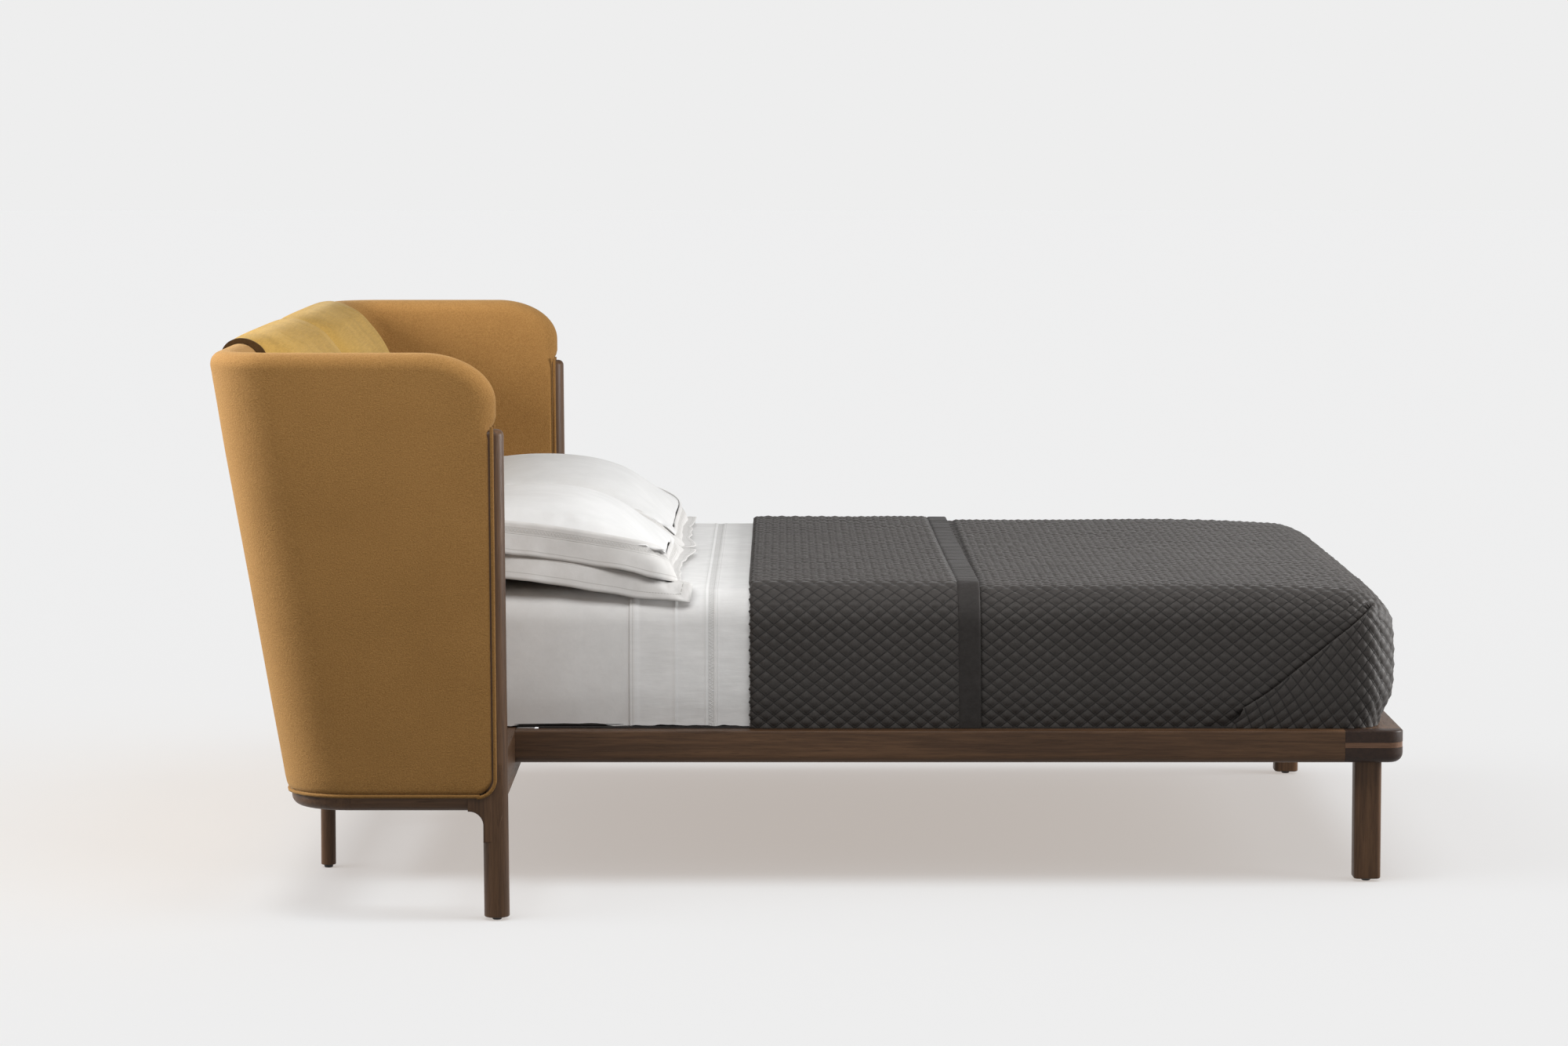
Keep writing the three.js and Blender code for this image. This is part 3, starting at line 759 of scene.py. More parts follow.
@dataclass
class Studio:
    """Camera, floor and soft lights."""

    eye: Point = (-0.0599, -10.175, 1.5456)
    tilt: float = 0.0878
    focal_share: float = 3.0282
    backdrop: float = 0.855
    low_light: float = 0.14
    high_light: float = 0.25
    floor_glow: Colour = (0.462, 0.418, 0.388)
    floor_tone: Colour = (0.446, 0.496, 0.531)
    skies: tuple[Sky, ...] = (
        Sky("bed_sky", 0.50, 60.0, (-14.0, 8.0, 0.0), False),
        Sky("floor_sky", 1.20, 42.0, (12.0, 0.0, 0.0), True),
        Sky("floor_sky_right", 0.90, 46.0, (10.0, 63.0, 0.0), True),
        Sky("floor_sky_left", 0.45, 46.0, (10.0, -50.0, 0.0), True),
    )
    softboxes: tuple[Softbox, ...] = (
        Softbox("front_softbox", (-0.30, -2.20, 2.60), (-0.10, -0.3, 0.4), (3.2, 1.0), 48.0),
        Softbox("foot_softbox", (3.8, -0.3, 1.5), (1.1, 0.0, 0.4), (1.6, 1.6), 165.0),
        Softbox("head_softbox", (-3.9, -0.5, 1.9), (-1.1, 0.0, 0.8), (1.2, 1.6), 230.0),
    )

    def make(self) -> None:
        """Set up everything that isn't part of the bed."""
        self._camera()
        floor = self._floor()
        self._surround()
        for sky in self.skies:
            self._sky(sky, floor)
        for softbox in self.softboxes:
            self._softbox(softbox, floor)
        bpy.context.scene.view_settings.view_transform = "Standard"

    def _camera(self) -> None:
        """Camera at eye height, looking along +Y and a little down."""
        data = bpy.data.cameras.new("camera")
        data.sensor_width = 36.0
        data.lens = data.sensor_width * self.focal_share
        data.clip_end = 200
        camera = bpy.data.objects.new("camera", data)
        camera.location = self.eye
        camera.rotation_euler = (math.pi / 2 - self.tilt, 0, 0)
        bpy.context.scene.collection.objects.link(camera)
        bpy.context.scene.camera = camera

    def _floor(self) -> bpy.types.Object:
        """A wide pale floor that melts into the backdrop."""
        graph = Graph("floor")
        grain = graph.noise(3.0, 2.0)
        graph.surface(graph.mix(grain, self.floor_tone, tuple(part + 0.002 for part in self.floor_tone)), 0.9)
        graph.constant(Specular_IOR_Level=0.0, Emission_Strength=1.0)
        graph.shader.inputs["Emission Color"].default_value = (*self.floor_glow, 1)
        mesh = bmesh.new()
        bmesh.ops.create_grid(mesh, x_segments=1, y_segments=1, size=60)
        data = bpy.data.meshes.new("floor")
        mesh.to_mesh(data)
        mesh.free()
        floor = bpy.data.objects.new("floor", data)
        data.materials.append(graph.material)
        bpy.context.scene.collection.objects.link(floor)
        floor.visible_diffuse = False
        return floor

    def _surround(self) -> None:
        """A surround that is pale at the horizon and dimmer above and below."""
        world = bpy.data.worlds.new("studio")
        bpy.context.scene.world = world
        world.use_nodes = True
        tree = world.node_tree
        background = tree.nodes["Background"]
        where = tree.nodes.new("ShaderNodeTexCoord")
        split = tree.nodes.new("ShaderNodeSeparateXYZ")
        ramp = tree.nodes.new("ShaderNodeValToRGB")
        rise = tree.nodes.new("ShaderNodeMath")
        rise.operation = "MULTIPLY_ADD"
        rise.inputs[1].default_value = 0.5
        rise.inputs[2].default_value = 0.5
        levels = (self.low_light, self.backdrop, self.backdrop, self.high_light)
        stops = tuple(zip((0.42, 0.47, 0.60, 0.68), levels))
        while len(ramp.color_ramp.elements) < len(stops):
            ramp.color_ramp.elements.new(0.5)
        for element, (position, level) in zip(ramp.color_ramp.elements, stops):
            element.position = position
            element.color = (level, level, level, 1)
        tree.links.new(where.outputs["Generated"], split.inputs[0])
        tree.links.new(split.outputs["Z"], rise.inputs[0])
        tree.links.new(rise.outputs[0], ramp.inputs[0])
        tree.links.new(ramp.outputs["Color"], background.inputs["Color"])

    def _sky(self, sky: Sky, floor: bpy.types.Object) -> None:
        """Hang one sky lamp."""
        data = bpy.data.lights.new(sky.name, "SUN")
        data.energy = sky.strength
        data.angle = math.radians(sky.spread)
        lamp = bpy.data.objects.new(sky.name, data)
        lamp.rotation_euler = Euler([math.radians(turn) for turn in sky.tilt])
        self._limit(lamp, floor, sky.for_floor)
        bpy.context.scene.collection.objects.link(lamp)

    def _softbox(self, softbox: Softbox, floor: bpy.types.Object) -> None:
        """Hang one softbox."""
        data = bpy.data.lights.new(softbox.name, "AREA")
        data.shape = "RECTANGLE"
        data.size, data.size_y = softbox.size
        data.energy = softbox.power
        lamp = bpy.data.objects.new(softbox.name, data)
        lamp.location = softbox.place
        aim = Vector(softbox.target) - Vector(softbox.place)
        lamp.rotation_euler = aim.to_track_quat("-Z", "Y").to_euler()
        lamp.visible_camera = False
        bpy.context.scene.collection.objects.link(lamp)
        self._limit(lamp, floor, False)

    @staticmethod
    def _limit(lamp: bpy.types.Object, thing: bpy.types.Object, lights_it: bool) -> None:
        """Let a lamp light one thing only, or everything but that thing."""
        group = bpy.data.collections.new(f"{lamp.name}_{'lit' if lights_it else 'unlit'}")
        group.objects.link(thing)
        group.collection_objects[0].light_linking.link_state = "INCLUDE" if lights_it else "EXCLUDE"
        lamp.light_linking.receiver_collection = group
        if lights_it and lamp.data.type == "SUN":
            clear = bpy.data.collections.new(f"{lamp.name}_clear")
            for name in ("headboard_upholstery", "left_back_cushion_cover", "right_back_cushion_cover"):
                clear.objects.link(bpy.data.objects[name])
            for entry in clear.collection_objects:
                entry.light_linking.link_state = "EXCLUDE"
            lamp.light_linking.blocker_collection = clear


# ---------------------------------------------------------------- headboard shell


@dataclass
class Shell:
    """The U-shaped upholstered shell and its welts."""

    thick: float = 0.064
    corner: float = 0.130
    lean: float = 0.1727
    top_radius: float = 0.094
    low_radius: float = 0.037
    edge: float = 0.030
    welt: float = 0.0036
    outer_y: float = field(default_factory=lambda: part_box("left_wing_panel")[1].y)
    bottom: float = field(default_factory=lambda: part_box("back_panel")[0].z)
    top: float = field(default_factory=lambda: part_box("back_panel")[1].z)
    post_top: float = field(default_factory=lambda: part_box("left_front_post")[1].z)
    front_low: float = -0.6005
    front_high: float = -0.6048
    columns: int = 260
    rows: int = 110

    def __post_init__(self) -> None:
        """Work out the flat length of the shell's middle line."""
        self.back_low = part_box("left_corner_panel")[0].x + self.lean * (self.top - self.bottom)
        self.mid_radius = self.corner - self.thick / 2
        self.straight = self.front_low - (self.back_low + self.corner)
        self.turn = self.mid_radius * math.pi / 2
        self.half_back = self.outer_y - self.corner
        self.half = self.straight + self.turn + self.half_back

    def front(self, z: float) -> float:
        """X of a wing's front edge at a height: drawn back where the post stands before it."""
        share = (z - self.bottom) / (self.top - self.bottom)
        line = self.front_low + (self.front_high - self.front_low) * share
        return line - 0.0105 * (1 - smoothstep(z, self.post_top - 0.004, self.post_top + 0.022))

    def back_shift(self, z: float) -> float:
        """How far the back stands towards the head at a height."""
        return -self.lean * (z - self.bottom)

    def to_space(self, s: float, z: float, out: float) -> Vector:
        """A point of the unrolled shell, in space.

        Args:
            s: Distance along the middle line from the centre of the back, positive to the left.
            z: Height.
            out: Distance outwards from the middle of the shell's thickness.

        Returns:
            The point.
        """
        side = 1 if s >= 0 else -1
        run = abs(s)
        shift = self.back_shift(z)
        reach = self.mid_radius + out
        if run <= self.half_back:
            return Vector((self.back_low + self.corner - reach + shift, side * run, z))
        if run <= self.half_back + self.turn:
            angle = (run - self.half_back) / self.mid_radius
            x = self.back_low + self.corner - reach * math.cos(angle) + shift
            return Vector((x, side * (self.half_back + reach * math.sin(angle)), z))
        share = (run - self.half_back - self.turn) / self.straight
        start = self.back_low + self.corner + shift
        x = start + (self.front(z) - start) * share
        return Vector((x, side * (self.half_back + reach), z))

    def _edge_distance(self, s: float, z: float) -> tuple[float, float]:
        """Distance to the rim of the unrolled shell and the softness of that rim."""
        run = self.half - abs(s)
        up, down = self.top - z, z - self.bottom
        if run < self.top_radius and up < self.top_radius:
            near = self.top_radius - math.hypot(self.top_radius - run, self.top_radius - up)
        elif run < self.low_radius and down < self.low_radius:
            near = self.low_radius - math.hypot(self.low_radius - run, self.low_radius - down)
        else:
            near = min(run, up, down)
        crisp = smoothstep(z, self.post_top - 0.02, self.post_top + 0.03)
        beside_post = 0.005 + (self.edge - 0.005) * crisp
        by_front = 1 - smoothstep(run, 0.0, 0.05)
        by_floor = 1 - smoothstep(down, 0.0, 0.03)
        soft = self.edge + (beside_post - self.edge) * by_front
        soft += (0.010 - soft) * by_floor
        return max(0.0, near), soft

    def make(self) -> None:
        """Build the shell and its welts."""
        self._skin()
        self._front_welts()
        self._bottom_welt()

    def _reach(self, z: float) -> float:
        """Half the unrolled width at a height, shorter where the wing's corners are round."""
        up, down = self.top - z, z - self.bottom
        for near, radius in ((up, self.top_radius), (down, self.low_radius)):
            if near < radius:
                return self.half - radius + math.sqrt(max(0, radius**2 - (radius - near) ** 2))
        return self.half

    def _height(self, share: float) -> float:
        """Height of a row of the skin: rows crowd towards the top, the bottom and the post's head."""
        span = self.top - self.bottom
        if share > 0.72:
            turn = (share - 0.72) / 0.28 * math.pi / 2
            return self.top - self.top_radius * 1.25 * (1 - math.sin(turn))
        if share < 0.16:
            turn = share / 0.16 * math.pi / 2
            return self.bottom + self.low_radius * 1.2 * (1 - math.cos(turn))
        low = self.bottom + self.low_radius * 1.2
        high = self.bottom + span - self.top_radius * 1.25
        return low + (high - low) * (share - 0.16) / 0.56

    @staticmethod
    def _crowded(share: float) -> float:
        """Place of a column of the skin: columns crowd towards the wings' front edges."""
        return math.copysign(1 - (1 - abs(share)) ** 1.9, share)

    def _skin(self) -> None:
        """Both faces of the padded shell, closed along the rim."""
        piece = Piece("headboard_upholstery")
        mesh = piece.mesh
        rows = self.rows
        bmesh.ops.create_grid(mesh, x_segments=self.columns, y_segments=rows, size=1.0)
        copy = bmesh.ops.duplicate(mesh, geom=mesh.verts[:] + mesh.edges[:] + mesh.faces[:])["geom"]
        inner = {g for g in copy if isinstance(g, bmesh.types.BMVert)}
        bmesh.ops.reverse_faces(mesh, faces=[g for g in copy if isinstance(g, bmesh.types.BMFace)])
        for vert in mesh.verts:
            z = self._height((vert.co.y + 1) / 2)
            s = self._reach(z) * self._crowded(vert.co.x)
            near, soft = self._edge_distance(s, z)
            rise = min(1.0, near / soft)
            half = self.thick / 2 * math.sqrt(max(0.0, 1 - (1 - rise) ** 2))
            drift = noise.noise(Vector((s * 2.6, z * 2.6, 4.2)))
            padding = 0.0016 * smoothstep(near, 0.02, 0.22) * (0.6 + drift)
            out = half + padding
            vert.co = self.to_space(s, z, -out if vert in inner else out)
        piece.weld(2e-5)
        nodes = [f"{side}_{part}" for side in SIDES for part in ("wing_panel", "corner_panel")]
        piece.place(WOOL, slot="ochre_wool", replaces=[*nodes, "back_panel"], smooth=1.4)

    def _front_welts(self) -> None:
        """A welt down each side of both posts, round the lower corner of the wing."""
        for side, sign in SIDES.items():
            for where, inset in (("outer", 0.0030), ("inner", self.thick - 0.0030)):
                path = []
                height = self.post_top + 0.006
                while height > self.bottom + self.low_radius:
                    spot = self.front(self.bottom) + self._rake(height)
                    path.append((spot, sign * (self.outer_y - inset), height))
                    height -= 0.02
                low = self.low_radius - self.welt * 0.6
                centre = (self.front(self.bottom) + 0.0036 - low, self.bottom + low - 0.001)
                for x, z in arc(centre, low, 0, -90, 8):
                    path.append((x, sign * (self.outer_y - inset), z))
                piece = Piece(f"{side}_{where}_welt", mesh=tube(path, self.welt))
                piece.place(WELT_WOOL, slot="ochre_wool", smooth=1.2)

    def _rake(self, height: float) -> float:
        """How far the welt leans back at a height, measured from the wing's lowest point."""
        share = (height - self.bottom) / (self.top - self.bottom)
        return (self.front_high - self.front_low) * share + 0.0036

    def _bottom_welt(self) -> None:
        """One welt along the shell's lower outer edge."""
        path = []
        steps = 120
        end = self.half - self.low_radius + 0.010
        for i in range(steps + 1):
            s = -end + 2 * end * i / steps
            point = self.to_space(s, self.bottom + 0.0012, self.thick / 2 - 0.0030)
            path.append(tuple(point))
        piece = Piece("lower_edge_welt", mesh=tube(path, self.welt))
        piece.place(WELT_WOOL, slot="ochre_wool", smooth=1.2)


# ---------------------------------------------------------------- timber frame


@dataclass
class TimberFrame:
    """Posts, legs, base rails, cross beam, side rails and foot rail."""

    arris: float = 0.0035
    finger_start: float = 0.800
    roundover: float = 0.019
    knee_fillet: float = 0.027
    rake: float = 0.0078

    def make(self) -> None:
        """Build every visible timber piece."""
        for side, sign in SIDES.items():
            self._front_post(side, sign)
            self._rear_leg(side)
            self._foot_leg(side)
            self._base_rail(side, sign)
            self._base_corner(side, sign)
            self._side_rail(side, sign)
        self._rear_rail()
        self._beam()
        self._foot_rail()

    def _front_post(self, side: str, sign: int) -> None:
        """A raked round post with its knee."""
        low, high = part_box(f"{side}_front_post")
        radius = 0.0242
        post_x, post_y = -0.6066, 1.226
        base_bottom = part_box("left_base_rail")[0].z
        base_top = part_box("left_base_rail")[1].z
        piece = Piece(f"{side}_post")
        mesh = piece.mesh
        dome = 0.012
        profile = [(0, low.z), *arc((radius - 0.003, low.z + 0.003), 0.003, -90, 0, 3)]
        profile += arc((radius - dome, high.z - dome), dome, 0, 90, 6)
        profile += [(0, high.z)]
        verts = turned_into(mesh, profile, 48)
        turn = Matrix.Rotation(-self.rake, 4, "Y")
        bmesh.ops.transform(mesh, matrix=Matrix.Translation((post_x, sign * post_y, 0)) @ turn, verts=verts)
        knee = bmesh.new()
        seat_radius = 0.0373
        seat_x = -0.6002
        left = post_x - radius
        fillet = self.knee_fillet
        outline = [(low.x, base_bottom)]
        outline += arc((left - fillet, base_bottom - fillet), fillet, 90, 0, 10)
        outline += [(left, 0.150), (post_x, 0.150), (post_x + 0.012, 0.20)]
        outline += [(post_x + 0.012, 0.30), (seat_x, 0.30)]
        outline += arc((seat_x - seat_radius, base_top + seat_radius), seat_radius, 0, -90, 10)
        outline += [(low.x, base_top)]
        half = radius - 0.0006
        prism(knee, outline, side_view, sign * (post_y - half), sign * (post_y + half))
        grain = [e for e in knee.edges if abs(e.verts[0].co.y - e.verts[1].co.y) < 1e-6]
        lower = [e for e in grain if max(v.co.z for v in e.verts) <= base_bottom + 1e-5]
        bevel(knee, lower, self.arris, 3, clamp=True)
        absorb(mesh, knee)
        bmesh.ops.recalc_face_normals(mesh, faces=mesh.faces)
        piece.place(WALNUT[Axis.Z], slot="walnut", replaces=[f"{side}_front_post"], smooth=0.55)

    def _rear_leg(self, side: str) -> None:
        """A slim turned leg."""
        low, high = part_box(f"{side}_rear_leg")
        radius = (high.x - low.x) / 2
        piece = Piece(f"{side}_rear_leg_turned")
        profile = [(0, low.z), *arc((radius - 0.002, low.z + 0.002), 0.002, -90, 0, 3)]
        profile += [(radius, high.z), (0, high.z)]
        verts = turned_into(piece.mesh, profile, 40)
        bmesh.ops.translate(piece.mesh, verts=verts, vec=((low.x + high.x) / 2, (low.y + high.y) / 2, 0))
        piece.weld().place(WALNUT[Axis.Z], slot="walnut", replaces=[f"{side}_rear_leg"])

    def _foot_leg(self, side: str) -> None:
        """A square leg with rounded corners."""
        low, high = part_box(f"{side}_foot_leg")
        piece = Piece(f"{side}_foot_leg_shaped")
        mesh = piece.mesh
        box_into(mesh, low, high)
        bevel(mesh, upright(mesh, 0.1), 0.011, 8)
        bevel(mesh, [e for e in mesh.edges if max(v.co.z for v in e.verts) < low.z + 1e-5], self.arris, 3)
        piece.weld().place(WALNUT[Axis.Z], slot="walnut", replaces=[f"{side}_foot_leg"])

    def _base_section(self, inner: float, outer: float, low: float, high: float) -> list[tuple[float, float]]:
        """Section of a base rail: rounded along its lower outer edge."""
        r = self.roundover
        return [(inner, low), *arc((outer - r, low + r), r, -90, 0, 8), (outer, high), (inner, high)]

    def _base_rail(self, side: str, sign: int) -> None:
        """The rail under a wing."""
        low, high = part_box(f"{side}_base_rail")
        inner, outer = sorted((abs(low.y), abs(high.y)))
        section = [(sign * a, b) for a, b in self._base_section(inner, outer, low.z, high.z)]
        piece = Piece(f"{side}_base_rail_moulded")
        prism(piece.mesh, section, end_view, low.x, high.x)
        piece.place(WALNUT[Axis.X], slot="walnut", replaces=[f"{side}_base_rail"])

    def _base_corner(self, side: str, sign: int) -> None:
        """The rounded corner between a base rail and the rear one."""
        low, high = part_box(f"{side}_base_corner")
        outer = high.x - low.x
        centre = Vector((high.x, low.y if sign > 0 else high.y, 0))
        section = self._base_section(outer - 0.060, outer, low.z, high.z)
        piece = Piece(f"{side}_base_corner_moulded")
        mesh = piece.mesh
        ring = [mesh.verts.new(centre + Vector((0, sign * a, b))) for a, b in section]
        face = mesh.faces.new(ring)
        bmesh.ops.spin(
            mesh,
            geom=[face, *face.edges, *face.verts],
            cent=centre,
            axis=(0, 0, 1),
            angle=sign * math.pi / 2,
            steps=18,
            use_merge=False,
        )
        open_edges = [e for e in mesh.edges if e.is_boundary]
        if open_edges:
            bmesh.ops.holes_fill(mesh, edges=open_edges)
        piece.weld().place(WALNUT[Axis.Y], slot="walnut", replaces=[f"{side}_base_corner"])

    def _rear_rail(self) -> None:
        """The straight base rail across the back."""
        low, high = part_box("rear_base_rail")
        section = [(-a, b) for a, b in self._base_section(-high.x, -low.x, low.z, high.z)]
        piece = Piece("rear_base_rail_moulded")
        prism(piece.mesh, section, side_view, low.y, high.y)
        piece.place(WALNUT[Axis.Y], slot="walnut", replaces=["rear_base_rail"])

    def _beam(self) -> None:
        """The cross beam between the posts."""
        low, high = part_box("headboard_cross_beam")
        end = 1.2015
        piece = Piece("cross_beam_shaped")
        box_into(piece.mesh, (low.x, -end, low.z), (high.x, end, high.z))
        bevel(piece.mesh, piece.mesh.edges[:], 0.003, 3, clamp=True)
        piece.place(WALNUT[Axis.Y], slot="walnut", replaces=["headboard_cross_beam"])

    def _side_rail(self, side: str, sign: int) -> None:
        """A side rail with a rounded lower edge and the tongue that runs through the foot rail."""
        low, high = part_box(f"{side}_side_rail")
        inner, outer = sorted((abs(low.y), abs(high.y)))
        foot_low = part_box("foot_rail")[0]
        r, nose = self.roundover, 0.0035
        section = [(inner, low.z), *arc((outer - r, low.z + r), r, -90, 0, 10)]
        section += [*arc((outer - nose, high.z - nose), nose, 0, 90, 4), (inner, high.z)]
        piece = Piece(f"{side}_side_rail_shaped")
        prism(piece.mesh, [(sign * a, b) for a, b in section], end_view, low.x, foot_low.x - 0.0003)
        piece.place(WALNUT[Axis.X], slot="walnut", replaces=[f"{side}_side_rail"])
        tongue = Piece(f"{side}_rail_tongue")
        mesh = tongue.mesh
        near, far = sorted((sign * inner, sign * (outer - 0.0004)))
        box_into(mesh, (foot_low.x, near, 0.2757), (high.x, far, 0.2864))
        end = {v for v in mesh.verts if v.co.x > high.x - 1e-4 and abs(v.co.y) > outer - 0.001}
        tip = [e for e in mesh.edges if end.issuperset(e.verts)]
        bevel(mesh, tip, 0.031, 12)
        tongue.weld().place(WALNUT_TONGUE, slot="walnut")

    def _foot_rail(self) -> None:
        """The foot rail: round in plan at its corners, rounded below, slotted for the tongues."""
        low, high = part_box("foot_rail")
        corner, r = 0.032, self.roundover
        piece = Piece("foot_rail_shaped")
        mesh = piece.mesh
        box_into(mesh, low, high)
        outward = [e for e in upright(mesh, 0.01) if all(v.co.x > high.x - 1e-5 for v in e.verts)]
        bevel(mesh, outward, corner, 14)
        lower = [e for e in mesh.edges if max(v.co.z for v in e.verts) < low.z + 1e-5]
        bevel(mesh, [e for e in lower if max(v.co.x for v in e.verts) > low.x + 1e-4], r, 8, clamp=True)
        upper = [e for e in mesh.edges if min(v.co.z for v in e.verts) > high.z - 1e-5]
        bevel(mesh, [e for e in upper if max(v.co.x for v in e.verts) > low.x + 1e-4], self.arris, 3)
        bmesh.ops.recalc_face_normals(mesh, faces=mesh.faces)
        for side in (1, -1):
            cut(mesh, (0, side * self.finger_start), (0, 1))
        for face in mesh.faces:
            face.material_index = int(abs(face.calc_center_median().y) > self.finger_start)
        rail = piece.place(WALNUT[Axis.Y], WALNUT_END, slot="walnut", replaces=["foot_rail"])
        self._slot(rail)

    @staticmethod
    def _slot(rail: bpy.types.Object) -> None:
        """Cut the two slots that take the tongues."""
        mesh = bmesh.new()
        for side in (1, -1):
            ends = sorted((side * 0.7997, side * 0.845))
            box_into(mesh, (1.0, ends[0], 0.2754), (1.18, ends[1], 0.2867))
        data = bpy.data.meshes.new("slots")
        mesh.to_mesh(data)
        mesh.free()
        cutter = bpy.data.objects.new("slots", data)
        bpy.context.scene.collection.objects.link(cutter)
        modifier = rail.modifiers.new("slots", "BOOLEAN")
        modifier.operation = "DIFFERENCE"
        modifier.object = cutter
        modifier.solver = "EXACT"
        apply_modifiers(rail)
        bpy.data.objects.remove(cutter)


# ---------------------------------------------------------------- cloth helpers


def cloth_grid(low: Point, high: Point, step: Point) -> bmesh.types.BMesh:
    """A flat grid of cloth from one corner to the other, with cells of about the given size."""
    mesh = bmesh.new()
    counts = [max(1, round((b - a) / s)) for a, b, s in zip(low, high, step)]
    bmesh.ops.create_grid(mesh, x_segments=counts[0], y_segments=counts[1], size=0.5)
    for vert in mesh.verts:
        vert.co = Vector([a + (b - a) * (c + 0.5) for a, b, c in zip(low, high, vert.co.xy)] + [0])
    return mesh


def smooth_path(points: Sequence[Point], steps: int) -> list[tuple[float, float]]:
    """A smooth curve through points in a plane.

    Args:
        points: Points (a, b) in order.
        steps: Points on the curve for each stretch.

    Returns:
        The curve's points.
    """
    ends = [points[0], *points, points[-1]]
    curve = []
    for before, start, stop, after in zip(ends, ends[1:], ends[2:], ends[3:]):
        for i in range(steps):
            t = i / steps
            spot = []
            for a, b, c, d in zip(before, start, stop, after):
                bend = 2 * a - 5 * b + 4 * c - d
                spot.append(0.5 * (2 * b + (c - a) * t + bend * t * t + (3 * b - a - 3 * c + d) * t**3))
            curve.append(tuple(spot))
    return [*curve, tuple(points[-1])]


FILL_FRAMES = 16


def inflate(thing: bpy.types.Object, voxel: float, cap: Callable[[Vector], float], pressure: float) -> None:
    """Remesh a soft piece and let air pressure round it, as a sewn case fills with its stuffing.

    Args:
        thing: Closed piece.
        voxel: Size of the remeshed cells.
        cap: How far a point at a place may move.
        pressure: Air pressure inside.
    """
    remesh = thing.modifiers.new("cells", "REMESH")
    remesh.mode = "VOXEL"
    remesh.voxel_size = voxel
    apply_modifiers(thing)
    before = [v.co.copy() for v in thing.data.vertices]
    cloth = thing.modifiers.new("cloth", "CLOTH")
    cloth.settings.quality = 5
    cloth.settings.use_pressure = True
    cloth.settings.uniform_pressure_force = pressure
    cloth.settings.tension_stiffness = 18
    cloth.settings.compression_stiffness = 12
    cloth.settings.bending_stiffness = 0.6
    cloth.settings.effector_weights.gravity = 0
    cloth.point_cache.frame_start = 1
    cloth.point_cache.frame_end = FILL_FRAMES
    scene = bpy.context.scene
    for number in range(1, FILL_FRAMES + 1):
        scene.frame_set(number)
    apply_modifiers(thing)
    for vert, start in zip(thing.data.vertices, before):
        move = vert.co - start
        limit = cap(start)
        if move.length > limit:
            vert.co = start + move * (limit / move.length)
    scene.frame_set(1)
    smoother = thing.modifiers.new("subdivision", "SUBSURF")
    smoother.levels = 1
    smoother.render_levels = 1
    apply_modifiers(thing)


def apply_modifiers(thing: bpy.types.Object) -> None:
    """Bake a piece's modifiers into its mesh."""
    graph = bpy.context.evaluated_depsgraph_get()
    done = bpy.data.meshes.new_from_object(thing.evaluated_get(graph))
    old = thing.data
    thing.modifiers.clear()
    thing.data = done
    bpy.data.meshes.remove(old)


def reshape(thing: bpy.types.Object, move: Callable[[Vector], Vector]) -> None:
    """Move every point of a finished piece and shade it smooth."""
    for vert in thing.data.vertices:
        vert.co = move(vert.co)
    for polygon in thing.data.polygons:
        polygon.use_smooth = True


# ---------------------------------------------------------------- bedding


